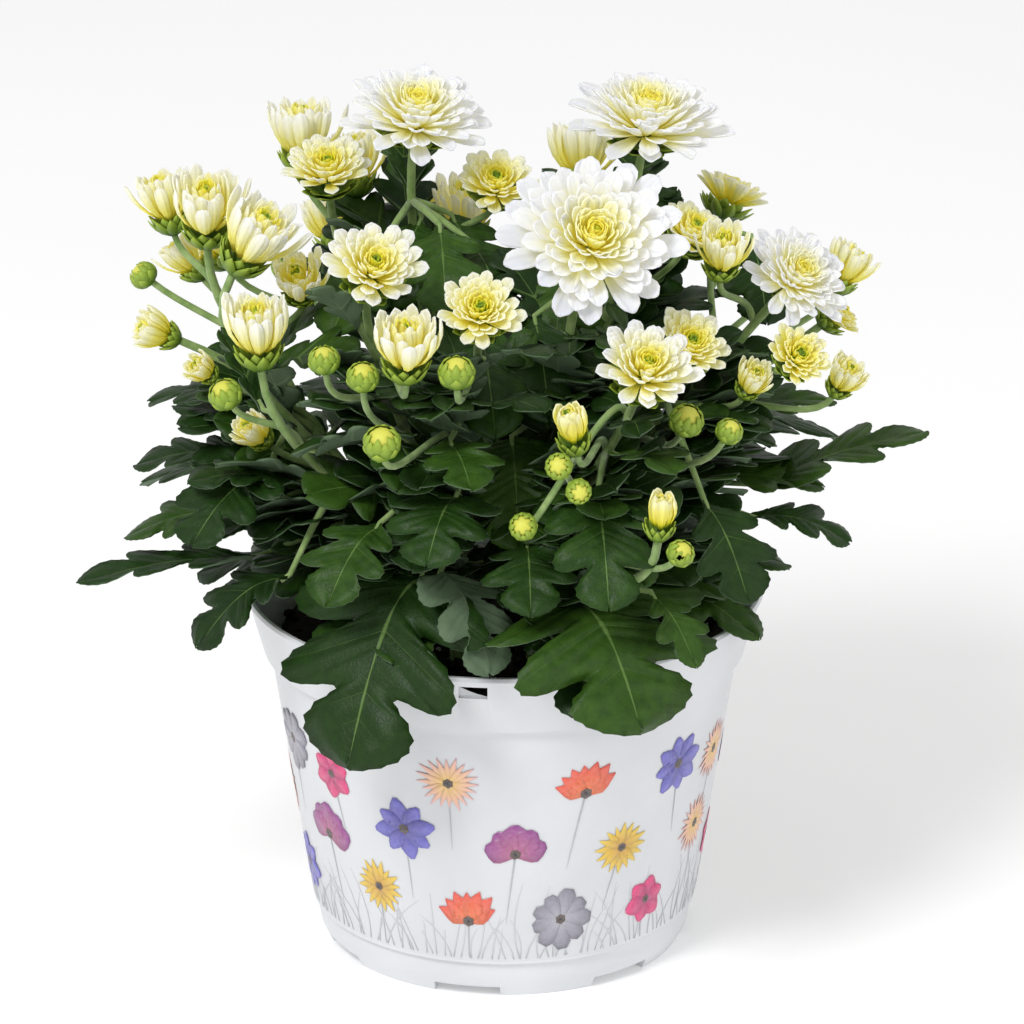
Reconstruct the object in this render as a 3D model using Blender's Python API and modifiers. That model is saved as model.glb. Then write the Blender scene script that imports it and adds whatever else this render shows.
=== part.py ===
"""Pot chrysanthemum: white, yellow-centred spray blooms on six leafy stems, planted in a moulded plastic pot.

Sizes and places are in millimetres, turned to metres where a mesh is made. +Z is up, the origin is on the
surface under the pot's axis, and the plant's front faces -Y. Compass angles are measured from +X towards +Y.
"""

import math
import random

import bmesh
import bpy
from mathutils import Matrix, Vector

MM = 0.001
GAP = 0.35
FLAT_ANGLE = math.radians(0.2)
UP = Vector((0.0, 0.0, 1.0))

POT_STEPS = 32
RIM_RADIUS = 69.4
POT_HEIGHT = 100.0
COLLAR_RADIUS = 64.6
COLLAR_BOTTOM = 83.0
SHOULDER_RADIUS = 62.4
SHOULDER_HEIGHT = 80.5
BODY_FOOT_RADIUS = 51.6
BODY_FOOT_HEIGHT = 10.8
RING_TOP_RADIUS = 50.4
FOOT_RADIUS = 47.8
FOOT_INNER_RADIUS = 45.0
FLOOR_TOP = 10.0
FLOOR_UNDERSIDE = 8.0
WALL = 1.8
FEET = 7
FOOT_TURN = 14.0
NOTCH_WIDTH = 17.8
NOTCH_HEIGHT = 3.0
NOTCH_DEPTH = 14.0
DRAIN_DEPTH = 12.0
LIP = 0.6
RING_ROUNDING = 4.0
DRAIN_RADIUS = 4.0
DRAIN_CIRCLE = 33.0
SLOT_SIZE = (7.5, 3.0, 3.6)
SLOT_CENTRE = (-8.0, -67.3, 95.5)

SOIL_STEPS = 20
SOIL_LEVEL = 85.0
SOIL_RELIEF = 1.6
HOLE_BOTTOM = 58.0
HOLE_CLEARANCE = 1.1
SOIL_CLEARANCE = 0.9
PLANTING_RADIUS = 25.0
STEM_RADIUS = 3.1
SHOOT_RADIUS = 2.1
STALK_RADIUS = 1.2
SHOOT_START = 92.0
STEM_TOP = 95.0
SHOOT_POINTS = 7
STALK_POINTS = 3
STALK_RISE = 14.0
CANOPY_RADIUS = 34.0
LEAF_TIERS = 7
LOWEST_TIER = 107.0
TIER_RISE = 7.5
INNER_TIERS = (2, 4)
INNER_REACH = 9.0
INNER_SLOPE = -50.0
INNER_LENGTH = 30.0
LONGEST_TIER_LEAF = 46.0
TIER_SHORTENING = 14.0
TIER_SPREAD = 3.0
TIER_SLOPES = (14.0, -12.0)
TIER_BREADTH = (0.60, 0.70)
TIER_ARCH = 3.5
PETIOLE = 8.0

LEAF_THICKNESS = 1.5
SECTOR_CLEARANCE = 0.6
NEXT_CLEARANCE = 0.23
ROOT_SINK = 0.6
ROOT_KEEL = 1.2
LEAST_REACH = 0.8
STALK_REACH = 12.0
BROAD_WIDTH = 27.0
POT_CLEARANCE = 2.6

PETAL_THICKNESS = 0.9
LONG_PETAL = 17.5
PETAL_TIP_SHARE = 0.42
PETAL_ROOT_SHARE = 0.86

# A leaf's half outline, from its base to its tip: how far along the midrib the point lies, how far out in half
# widths, and where on the midrib the vein that reaches it starts. Tips of lobes are far out, the cuts between
# them are near the midrib.
BROAD_OUTLINE = [
    (0.02, 0.10, 0.00),
    (0.24, 0.66, 0.08),
    (0.38, 0.88, 0.16),
    (0.43, 0.38, 0.28),
    (0.60, 0.88, 0.37),
    (0.71, 0.90, 0.46),
    (0.76, 0.36, 0.60),
    (0.87, 0.50, 0.70),
    (0.96, 0.24, 0.85),
]
NARROW_OUTLINE = [
    (0.02, 0.08, 0.00),
    (0.33, 0.90, 0.10),
    (0.43, 0.40, 0.30),
    (0.66, 1.00, 0.42),
    (0.69, 0.40, 0.58),
    (0.87, 0.52, 0.72),
]

# One leafy stem for each sector of the plant: the sector's two compass angles, then its shoots. A shoot is a
# list of the heads that it carries. A head is its kind, the place of its middle, its width, and the compass
# angle and slope of its lean from upright.
STEMS = {
    "stem_left": (
        (-205.0, -143.0),
        [
            [
                ("cup", (-64, -40, 187), 19.0, -130, 8),
                ("bud", (-72, -41, 168), 8.6, -150, 30),
                ("cup", (-66, -22, 151), 11.0, -150, 45),
            ],
            [
                ("cup", (-64, -13, 203), 21.0, -20, 30),
                ("cup", (-54, -2, 186), 15.0, -100, 35),
            ],
            [
                ("cup", (-78, 1, 206), 20.0, -90, 12),
                ("cup", (-90, 19, 202), 16.5, 170, 14),
                ("cup", (-86, 28, 182), 13.0, 170, 42),
                ("bud", (-95, 6, 184), 7.2, 180, 50),
            ],
            [
                ("cup", (-93, 5, 169), 12.0, -170, 65),
                ("cup", (-80, -5, 162), 9.0, -150, 50),
            ],
        ],
    ),
    "stem_front_left": (
        (-143.0, -91.0),
        [
            [
                ("half", (-33, -36, 203), 27.0, -75, 40),
                ("cup", (-25, -66, 192), 18.5, -90, 14),
                ("bud", (-46, -56, 183), 8.0, -120, 10),
                ("bud", (-36, -63, 181), 8.2, -90, 20),
            ],
            [
                ("half", (-6, -54, 197), 23.0, -88, 42),
                ("bud", (-12, -68, 184), 9.2, -95, 10),
                ("bud", (-31, -76, 168), 9.4, -100, 25),
            ],
        ],
    ),
    "stem_front_right": (
        (-91.0, -48.0),
        [
            [
                ("open", (23, -32, 208), 49.0, -80, 48),
            ],
            [
                ("half", (37, -62, 185), 28.0, -75, 38),
                ("opening", (17, -76, 173), 11.0, -120, 20),
                ("bud", (14, -82, 164), 6.8, -100, 60),
                ("bud", (19, -84, 158), 6.4, -80, 80),
                ("bud", (5, -78, 146), 7.0, -100, 60),
            ],
            [
                ("opening", (40, -80, 151), 10.2, -70, 12),
                ("bud", (45, -84, 141), 7.0, -50, 40),
            ],
        ],
    ),
    "stem_right": (
        (-48.0, 14.0),
        [
            [
                ("half", (49, -27, 178), 22.0, -60, 40),
                ("bud", (47, -52, 165), 8.8, -60, 30),
                ("bud", (58, -52, 162), 7.0, -40, 30),
                ("cup", (65, -26, 167), 10.5, -40, 30),
            ],
            [
                ("open", (77, -2, 187), 32.0, -50, 42),
                ("half", (77, -32, 176), 18.0, -60, 48),
                ("cup", (90, -10, 162), 11.5, -30, 30),
                ("cup", (57, -12, 198), 15.0, -80, 16),
            ],
        ],
    ),
    "stem_back_right": (
        (14.0, 91.0),
        [
            [
                ("open", (38, 28, 221), 45.0, -60, 14),
                ("half", (51, 20, 193), 21.0, -40, 30),
                ("cup", (21, 55, 203), 19.0, 90, 20),
            ],
            [
                ("half", (90, 24, 168), 16.0, 0, 50),
                ("cup", (93, 44, 174), 14.0, 20, 30),
                ("half", (62, 62, 190), 22.0, 45, 30),
                ("bud", (80, 62, 170), 8.0, 40, 40),
            ],
            [
                ("half", (40, 76, 176), 24.0, 65, 42),
                ("cup", (12, 81, 180), 15.0, 85, 20),
                ("bud", (60, 81, 160), 7.0, 60, 50),
            ],
        ],
    ),
    "stem_back_left": (
        (91.0, 155.0),
        [
            [
                ("open", (-23, 22, 224), 41.0, -70, 18),
                ("half", (-2, 22, 206), 22.0, -85, 30),
                ("cup", (-10, 48, 190), 18.0, -90, 10),
                ("cup", (-40, 52, 202), 17.0, 110, 12),
            ],
            [
                ("half", (-47, 26, 209), 24.0, -95, 24),
                ("cup", (-54, 46, 212), 20.0, 120, 6),
                ("half", (-78, 50, 178), 18.0, 150, 36),
            ],
            [
                ("half", (-22, 76, 182), 24.0, 105, 38),
                ("cup", (-48, 76, 176), 16.0, 120, 26),
                ("bud", (-60, 80, 160), 7.6, 120, 50),
            ],
        ],
    ),
}

# The large leaves that hang over the rim or stand out from the plant, by stem: where the blade starts, where
# its tip is, its width, how far its midrib arches up, and how far the blade rolls.
LARGE_LEAVES = {
    "stem_left": [
        ((-56, -36, 116), (-81, -48, 100), 27, 6, 0),
        ((-64, -15, 113), (-113, -24, 109), 20, 3, 0),
        ((-66, -12, 124), (-101, -14, 118), 24, 4, 0),
        ((-62, -22, 140), (-82, -46, 128), 30, 5, 0),
        ((-66, 2, 134), (-99, 4, 131), 24, 4, 0),
        ((-62, 18, 146), (-96, 26, 141), 24, 4, 0),
        ((-66, 22, 122), (-98, 34, 114), 26, 5, 0),
    ],
    "stem_front_left": [
        ((-21, -48, 121), (-41, -82, 80), 58, 13, 0),
        ((-32, -50, 136), (-46, -74, 122), 26, 5, 0),
        ((-12, -52, 145), (-20, -80, 136), 30, 5, 0),
        ((-14, -48, 158), (-8, -76, 155), 22, 3, 0),
    ],
    "stem_front_right": [
        ((16, -50, 114), (36, -84, 91), 55, 12, 0),
        ((24, -56, 146), (27, -86, 126), 30, 6, 0),
        ((6, -54, 132), (7, -80, 122), 26, 5, 0),
        ((38, -58, 120), (50, -78, 107), 16, 4, 0),
    ],
    "stem_right": [
        ((66, -2, 128), (113, 4, 141), 28, 3, 0),
        ((64, -14, 124), (92, -18, 118), 24, 4, 0),
        ((52, -44, 140), (64, -62, 118), 26, 5, 0),
    ],
    "stem_back_right": [
        ((58, 40, 128), (92, 58, 118), 34, 6, 0),
        ((20, 56, 122), (30, 88, 108), 38, 8, 0),
        ((44, 52, 118), (70, 82, 104), 36, 8, 0),
    ],
    "stem_back_left": [
        ((-24, 56, 120), (-36, 88, 106), 38, 8, 0),
        ((-50, 44, 120), (-82, 68, 108), 36, 8, 0),
    ],
}

# The heads by kind, in shares of a head's width. A core is a stack of rings, each a radius and a height, and
# one petal grows from each face between two rings: its length, its slope at the root and at the tip above the
# plane of the head, and its breadth as a share of the room beside its neighbours.
PETALS_ROUND = {"open": 9, "half": 6, "cup": 6, "opening": 5}
CORE_RINGS = {
    "open": [(0.09, 0.0), (0.13, 0.06), (0.125, 0.11), (0.09, 0.15), (0.045, 0.21)],
    "half": [(0.12, 0.0), (0.19, 0.11), (0.17, 0.22), (0.08, 0.34)],
    "cup": [(0.20, 0.0), (0.21, 0.13), (0.20, 0.55), (0.06, 0.66)],
    "opening": [(0.24, 0.0), (0.25, 0.16), (0.24, 0.75), (0.06, 0.90)],
}
PETAL_RINGS = {
    "open": [(0.40, 8, -8, 0.90), (0.34, 30, 22, 0.86), (0.26, 56, 60, 0.80)],
    "half": [(0.38, 34, 28, 0.92), (0.38, 62, 80, 0.84)],
    "cup": [(0.78, 58, 96, 0.94)],
    "opening": [(0.86, 52, 112, 0.90)],
}
CALYX_SIZE = {"open": (0.17, 0.10), "half": (0.24, 0.20), "cup": (0.28, 0.26), "opening": (0.34, 0.40)}
MIDDLE_HEIGHT = {"open": 0.12, "half": 0.28, "cup": 0.44, "opening": 0.50, "bud": 0.45}
BUD_SHAPE = [(0.0, 0.40), (0.42, 1.0), (0.90, 0.56)]


def compass(degrees):
    angle = math.radians(degrees)
    return Vector((math.cos(angle), math.sin(angle), 0.0))


def material(name, colour, roughness, metallic=0.0):
    finish = bpy.data.materials.new(name)
    finish.use_nodes = True
    shader = finish.node_tree.nodes["Principled BSDF"]
    shader.inputs["Base Color"].default_value = (*colour, 1.0)
    shader.inputs["Roughness"].default_value = roughness
    shader.inputs["Metallic"].default_value = metallic
    return finish


def add_object(name, mesh, collection):
    piece = bpy.data.objects.new(name, mesh)
    collection.objects.link(piece)
    return piece


def mesh_from(bm, name):
    """The bmesh in millimetres as a mesh in metres, with its faces turned outwards."""
    bmesh.ops.recalc_face_normals(bm, faces=bm.faces)
    bmesh.ops.scale(bm, vec=(MM, MM, MM), verts=bm.verts)
    mesh = bpy.data.meshes.new(name)
    bm.to_mesh(mesh)
    bm.free()
    return mesh


def loft(rings):
    """A closed bmesh through rings of points, triangles only. A ring of one point closes to a tip."""
    bm = bmesh.new()
    rows = [[bm.verts.new(point) for point in ring] for ring in rings]
    for row, after in zip(rows, rows[1:]):
        count = max(len(row), len(after))
        for i in range(count):
            j = (i + 1) % count
            if len(row) == 1:
                bm.faces.new((row[0], after[i], after[j]))
            elif len(after) == 1:
                bm.faces.new((row[i], row[j], after[0]))
            else:
                bm.faces.new((row[i], row[j], after[j]))
                bm.faces.new((row[i], after[j], after[i]))
    for end in (rows[0], rows[-1]):
        if len(end) > 2:
            bm.faces.new(end)
    bmesh.ops.triangulate(bm, faces=bm.faces)
    return bm


def curve_point(ends, pulls, t):
    """A point on the cubic curve between two ends, pulled towards two guide points."""
    a, d = ends
    b, c = pulls
    s = 1.0 - t
    return a * s**3 + b * (3 * s * s * t) + c * (3 * s * t * t) + d * t**3


def tube(name, points, radii, collection, resolution=0):
    """A tube along points, made as a bevelled curve and turned into a welded mesh."""
    curve = bpy.data.curves.new(name, "CURVE")
    curve.dimensions = "3D"
    curve.bevel_depth = MM
    curve.bevel_resolution = resolution
    curve.use_fill_caps = True
    spline = curve.splines.new("POLY")
    spline.points.add(len(points) - 1)
    for place, point, radius in zip(spline.points, points, radii):
        place.co = (*(point * MM), 1.0)
        place.radius = radius
    guide = add_object(name, curve, collection)
    bpy.context.view_layer.update()
    mesh = bpy.data.meshes.new_from_object(guide.evaluated_get(bpy.context.evaluated_depsgraph_get()))
    bpy.data.objects.remove(guide)
    bm = bmesh.new()
    bm.from_mesh(mesh)
    bmesh.ops.remove_doubles(bm, verts=bm.verts, dist=1e-6)
    bmesh.ops.recalc_face_normals(bm, faces=bm.faces)
    bm.to_mesh(mesh)
    bm.free()
    return add_object(name, mesh, collection)


def keep_outer_body(mesh):
    """Keeps the largest closed body: inner shells, which are sealed hollows, and loose scraps are dropped."""
    bm = bmesh.new()
    bm.from_mesh(mesh)
    bmesh.ops.remove_doubles(bm, verts=bm.verts, dist=2e-6)
    bmesh.ops.dissolve_degenerate(bm, edges=bm.edges, dist=1e-6)
    bodies = []
    unseen = set(bm.faces)
    while unseen:
        body = []
        search = [unseen.pop()]
        while search:
            face = search.pop()
            body.append(face)
            beside = {other for edge in face.edges if len(edge.link_faces) == 2 for other in edge.link_faces} & unseen
            unseen -= beside
            search.extend(beside)
        bodies.append(body)
    bodies.sort(key=len, reverse=True)
    spare = [face for body in bodies[1:] for face in body]
    bmesh.ops.delete(bm, geom=spare, context="FACES")
    bmesh.ops.dissolve_limit(bm, angle_limit=FLAT_ANGLE, verts=bm.verts, edges=bm.edges)
    bmesh.ops.triangulate(bm, faces=bm.faces)
    bm.to_mesh(mesh)
    bm.free()


def boolean(base, operation, cutter=None, collection=None, solver="EXACT"):
    modifier = base.modifiers.new(operation.lower(), "BOOLEAN")
    modifier.operation = operation
    modifier.solver = solver
    if collection:
        modifier.operand_type = "COLLECTION"
        modifier.collection = collection
    else:
        modifier.object = cutter
    return modifier


def fuse(base, pieces):
    """Joins a node's repeats to it by one union, applies it and removes the loose pieces."""
    boolean(base, "UNION", collection=pieces)
    bpy.context.view_layer.update()
    mesh = bpy.data.meshes.new_from_object(base.evaluated_get(bpy.context.evaluated_depsgraph_get()))
    base.modifiers.clear()
    base.data = mesh
    keep_outer_body(mesh)
    for piece in list(pieces.objects):
        bpy.data.objects.remove(piece)
    bpy.data.collections.remove(pieces)


def new_repeats(name):
    pieces = bpy.data.collections.new(name)
    bpy.context.scene.collection.children.link(pieces)
    return pieces


def turned(name, profile, steps, collection):
    """A turned solid from a profile of radius and height, both of whose ends lie on the axis."""
    mesh = bpy.data.meshes.new(name)
    points = [(radius * MM, 0.0, height * MM) for radius, height in profile]
    mesh.from_pydata(points, [(i, i + 1) for i in range(len(points) - 1)], [])
    piece = add_object(name, mesh, collection)
    screw = piece.modifiers.new("turn", "SCREW")
    screw.steps = screw.render_steps = steps
    screw.use_merge_vertices = True
    screw.merge_threshold = 0.00001
    return piece


def cutter_object(name, bm, collection):
    piece = add_object(name, mesh_from(bm, name), collection)
    piece.hide_render = True
    piece.display_type = "WIRE"
    return piece


def pot_radius(height):
    """The pot's outer radius at a height."""
    if height > COLLAR_BOTTOM:
        share = (height - COLLAR_BOTTOM) / (POT_HEIGHT - COLLAR_BOTTOM)
        return COLLAR_RADIUS + (RIM_RADIUS - COLLAR_RADIUS) * share
    share = (height - BODY_FOOT_HEIGHT) / (SHOULDER_HEIGHT - BODY_FOOT_HEIGHT)
    return BODY_FOOT_RADIUS + (SHOULDER_RADIUS - BODY_FOOT_RADIUS) * share


def build_pot(parts, cutters):
    profile = [
        (0.0, FLOOR_TOP),
        (BODY_FOOT_RADIUS - WALL, FLOOR_TOP),
        (SHOULDER_RADIUS - WALL, SHOULDER_HEIGHT),
        (COLLAR_RADIUS - WALL, COLLAR_BOTTOM + LIP),
        (RIM_RADIUS - WALL, POT_HEIGHT - LIP),
        (RIM_RADIUS - WALL / 2, POT_HEIGHT),
        (RIM_RADIUS, POT_HEIGHT - LIP),
        (COLLAR_RADIUS, COLLAR_BOTTOM),
        (SHOULDER_RADIUS, SHOULDER_HEIGHT),
        (BODY_FOOT_RADIUS, BODY_FOOT_HEIGHT),
        (RING_TOP_RADIUS, BODY_FOOT_HEIGHT - LIP),
        (RING_TOP_RADIUS - LIP, RING_ROUNDING),
        (FOOT_RADIUS, 0.0),
        (FOOT_INNER_RADIUS, 0.0),
        (FOOT_INNER_RADIUS, FLOOR_UNDERSIDE),
        (0.0, FLOOR_UNDERSIDE),
    ]
    pot = turned("pot", profile, POT_STEPS, parts)
    bm = bmesh.new()
    for index in range(FEET):
        turn = -90.0 + FOOT_TURN + (index + 0.5) * 360.0 / FEET
        notch = Matrix.Rotation(math.radians(turn), 4, "Z") @ Matrix.Translation((FOOT_RADIUS, 0.0, 0.0))
        block = Matrix.Diagonal((NOTCH_DEPTH, NOTCH_WIDTH, 2 * NOTCH_HEIGHT, 1.0))
        bmesh.ops.create_cube(bm, size=1.0, matrix=notch @ block)
        drain = Matrix.Rotation(math.radians(turn), 4, "Z") @ Matrix.Translation((DRAIN_CIRCLE, 0.0, FLOOR_TOP))
        bmesh.ops.create_cone(
            bm, segments=6, radius1=DRAIN_RADIUS, radius2=DRAIN_RADIUS, depth=DRAIN_DEPTH, cap_ends=True, matrix=drain
        )
    slot = Matrix.Translation(SLOT_CENTRE) @ Matrix.Diagonal((*SLOT_SIZE, 1.0))
    bmesh.ops.create_cube(bm, size=1.0, matrix=slot)
    boolean(pot, "DIFFERENCE", cutter=cutter_object("pot_cutter", bm, cutters))
    pot.data.materials.append(material("white_plastic", (0.86, 0.87, 0.88), 0.35))
    return pot


def build_soil(parts, cutters, plantings):
    edge = SHOULDER_RADIUS - WALL - SOIL_CLEARANCE
    profile = [
        (0.0, SOIL_LEVEL),
        (edge * 0.42, SOIL_LEVEL + LIP),
        (edge * 0.78, SOIL_LEVEL),
        (COLLAR_RADIUS - WALL - SOIL_CLEARANCE, SOIL_LEVEL - LIP),
        (edge, SHOULDER_HEIGHT - LIP),
        (BODY_FOOT_RADIUS - WALL - SOIL_CLEARANCE, FLOOR_TOP + GAP),
        (0.0, FLOOR_TOP + GAP),
    ]
    soil = turned("soil", profile, SOIL_STEPS, parts)
    bpy.context.view_layer.update()
    soil.data = bpy.data.meshes.new_from_object(soil.evaluated_get(bpy.context.evaluated_depsgraph_get()))
    soil.modifiers.clear()
    lumps = random.Random(5)
    for vert in soil.data.vertices:
        if vert.co.z > (SOIL_LEVEL - 0.3) * MM:
            vert.co.z += lumps.uniform(-SOIL_RELIEF, SOIL_RELIEF) * MM
    bm = bmesh.new()
    for place in plantings:
        depth = POT_HEIGHT - HOLE_BOTTOM
        middle = Matrix.Translation(place + UP * (HOLE_BOTTOM + depth / 2))
        radius = STEM_RADIUS + HOLE_CLEARANCE
        bmesh.ops.create_cone(bm, segments=6, radius1=radius, radius2=radius, depth=depth, cap_ends=True, matrix=middle)
    boolean(soil, "DIFFERENCE", cutter=cutter_object("soil_cutter", bm, cutters))
    soil.data.materials.append(material("potting_soil", (0.03, 0.022, 0.017), 0.95))
    return soil


def room_beside(place, way, wanted, sector, clearance):
    """How far a blade may reach from its midrib before it leaves its stem's sector, a wedge about the pot's axis."""
    for angle, side in zip(sector, (1.0, -1.0)):
        inward = compass(angle + 90.0) * side
        closing = -way.dot(inward)
        if closing > 0.01:
            wanted = min(wanted, max((place.dot(inward) - clearance) / closing, LEAST_REACH))
    return wanted


def off_pot(point, clearance):
    """Bends a point clear of the pot: above its rim inside it, and outside its wall below the rim."""
    reach = math.hypot(point.x, point.y)
    if point.z > POT_HEIGHT + clearance:
        return point
    if reach < RIM_RADIUS - 1.0:
        return Vector((point.x, point.y, POT_HEIGHT + clearance))
    wanted = pot_radius(min(point.z, POT_HEIGHT)) + clearance
    if reach < wanted:
        return Vector((point.x * wanted / reach, point.y * wanted / reach, point.z))
    return point


def leaf_rings(root, leaf, outline, sector, spare):
    """The rings of a leaf: its stalk at the root, then its lobed blade along an arched midrib, with a keel."""
    base, tip, width, arch, roll = leaf
    base, tip = Vector(base), Vector(tip)
    crest = (base + tip) / 2 + UP * arch * 2
    half = width / 2
    clearance = SECTOR_CLEARANCE + spare

    def settle(point):
        return off_pot(point, POT_CLEARANCE + spare)

    def frame(along):
        s = 1.0 - along
        place = base * s * s + crest * (2 * s * along) + tip * along * along
        ahead = ((crest - base) * s + (tip - crest) * along).normalized()
        side = ahead.cross(UP).normalized()
        side = Matrix.Rotation(math.radians(roll), 3, ahead) @ side
        return place, side, side.cross(ahead)

    stalk = base - root
    side = stalk.cross(UP).normalized()
    rings = [[root - side, root - side.cross(stalk).normalized() * ROOT_KEEL, root + side]]
    for along, out, vein in outline:
        place, side, over = frame(along)
        rib, over = frame(vein)[::2]
        left = place - side * room_beside(place, -side, half * out, sector, clearance)
        right = place + side * room_beside(place, side, half * out, sector, clearance)
        rings.append([settle(left), settle(rib) - over * LEAF_THICKNESS, settle(right)])
    rings.append([settle(tip)])
    return rings


def nearest(points, place):
    return min(points, key=lambda point: (point - place).length)


def add_leaf(name, joints, leaf, outline, sector, number, pieces):
    """One leaf, kept clear of its stem's sector and of the pot, each leaf by a little more than the last."""
    base, tip = Vector(leaf[0]), Vector(leaf[1])
    ahead = (tip - base).normalized()
    joint = nearest(joints, base - ahead * STALK_REACH)
    root = joint - ahead * ROOT_SINK
    rings = leaf_rings(root, leaf, outline, sector, NEXT_CLEARANCE * number)
    add_object(name, mesh_from(loft(rings), name), pieces)


def tier_leaves(sector, joints, numbers):
    """A stem's own leaves in tiers, alternately left and right, the upper ones shorter and more upright.

    The inner tiers point steeply up towards the middle of the plant.
    """
    middle = (sector[0] + sector[1]) / 2
    spread = (sector[1] - sector[0]) / 2
    leaves = []
    for tier in range(LEAF_TIERS):
        share = tier / (LEAF_TIERS - 1)
        side = 1 if tier % 2 else -1
        out = compass(middle + side * spread * numbers.uniform(0.30, 0.62))
        height = LOWEST_TIER + TIER_RISE * tier
        root = nearest(joints, out * CANOPY_RADIUS + UP * height)
        length = LONGEST_TIER_LEAF - TIER_SHORTENING * share + numbers.uniform(-TIER_SPREAD, TIER_SPREAD)
        slope = math.radians(TIER_SLOPES[0] + (TIER_SLOPES[1] - TIER_SLOPES[0]) * share)
        breadth = numbers.uniform(*TIER_BREADTH)
        if tier in INNER_TIERS:
            out = (compass(middle) * INNER_REACH - Vector((root.x, root.y, 0.0))).normalized()
            length = INNER_LENGTH
            slope = math.radians(INNER_SLOPE)
        base = root + out * PETIOLE + UP
        tip = base + out * length * math.cos(slope) - UP * length * math.sin(slope)
        leaves.append((base, tip, length * breadth, TIER_ARCH, 0.0))
    return leaves


def facing(turn, slope):
    angle = math.radians(slope)
    return (compass(turn) * math.sin(angle) + UP * math.cos(angle)).normalized()


def seat_of(head):
    """Where a head sits on its stalk, and the way it faces."""
    kind, place, width, turn, slope = head
    way = facing(turn, slope)
    return Vector(place) - way * (width * MIDDLE_HEIGHT[kind]), way


def stalk_end(head):
    """The points and radii that finish a stalk: the cup of green bracts under a bloom, or a whole green bud."""
    kind, place, width = head[:3]
    seat, way = seat_of(head)
    if kind == "bud":
        return [(seat + way * width * rise, width / 2 * share) for rise, share in BUD_SHAPE]
    radius, height = (size * width for size in CALYX_SIZE[kind])
    return [(seat - way * height, STALK_RADIUS), (seat, radius)]


def add_stalk(name, start, head, count, thick, pieces):
    """A flower stalk, which leaves its shoot upwards and comes to the head along the head's own axis."""
    way = seat_of(head)[1]
    end = stalk_end(head)
    foot = end[0][0]
    reach = (foot - start).length
    pulls = (start + UP * reach * 0.30 + (foot - start) * 0.12, foot - way * reach * 0.32)
    points = [curve_point((start, foot), pulls, i / (count - 1)) for i in range(count)]
    radii = [thick + (STALK_RADIUS - thick) * i / (count - 1) for i in range(count)]
    tube(name, points + [place for place, radius in end[1:]], radii + [radius for place, radius in end[1:]], pieces, 1)
    return points


def planting_of(sector):
    return compass((sector[0] + sector[1]) / 2) * PLANTING_RADIUS


def branch_point(path, free, head):
    """The highest free joint of a shoot that lies well below the head."""
    low = seat_of(head)[0].z - STALK_RISE
    below = [index for index in free if path[index].z < low]
    index = max(below) if below else min(free)
    free.discard(index)
    return path[index]


def build_stem(name, sector, shoots, parts, green):
    planting = planting_of(sector)
    foot = [planting + UP * z for z in (HOLE_BOTTOM + GAP, STEM_TOP)]
    stem = tube(name, foot, [STEM_RADIUS] * 2, parts, resolution=1)
    pieces = new_repeats(name + "_pieces")
    numbers = random.Random(len(name) * 7 + int(sector[0]))
    joints = []
    for order, heads in enumerate(shoots):
        label = f"{name}_{order}"
        start = planting + compass(order * 360.0 / len(shoots)) + UP * SHOOT_START
        path = add_stalk(label, start, heads[0], SHOOT_POINTS, SHOOT_RADIUS, pieces)
        joints += path[1:-1]
        free = set(range(2, SHOOT_POINTS - 1))
        for index, head in enumerate(heads[1:]):
            start = branch_point(path, free, head) + UP * ROOT_SINK * (index + 1)
            add_stalk(f"{label}_stalk_{index}", start, head, STALK_POINTS, STALK_RADIUS, pieces)
    for number, leaf in enumerate(tier_leaves(sector, joints, numbers)):
        add_leaf(f"{name}_leaf_{number}", joints, leaf, NARROW_OUTLINE, sector, number, pieces)
    for number, leaf in enumerate(LARGE_LEAVES[name], LEAF_TIERS):
        outline = BROAD_OUTLINE if leaf[2] > BROAD_WIDTH else NARROW_OUTLINE
        add_leaf(f"{name}_leaf_{number}", joints, leaf, outline, sector, number, pieces)
    fuse(stem, pieces)
    stem.data.materials.clear()
    stem.data.materials.append(green)
    return stem


def raise_petal(bm, face, length, slopes, room):
    """Draws a petal out of a face of the core: broadest near its end, blunt at the tip, and curling."""
    middle = face.calc_center_median()
    out = Vector((middle.x, middle.y, 0.0)).normalized()
    side = UP.cross(out)
    count = 3 if length > LONG_PETAL else 2
    place = middle
    for step in range(count):
        share = (step + 0.5) / count
        angle = math.radians(slopes[0] + (slopes[1] - slopes[0]) * share)
        place = place + (out * math.cos(angle) + UP * math.sin(angle)) * length / count
        over = UP * math.cos(angle) - out * math.sin(angle)
        half = room * math.hypot(place.x, place.y)
        if step == count - 1:
            half *= PETAL_TIP_SHARE
        elif count == 3 and step == 0:
            half *= PETAL_ROOT_SHARE
        face = bmesh.ops.extrude_discrete_faces(bm, faces=[face])["faces"][0]
        corners = ((-1, -1), (1, -1), (1, 1), (-1, 1))
        for vert, (across, through) in zip(face.verts, corners):
            vert.co = place + side * half * across + over * PETAL_THICKNESS / 2 * through
    low_left, low_right, high_right, high_left = face.verts
    bmesh.ops.weld_verts(bm, targetmap={high_left: low_left, high_right: low_right})


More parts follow.
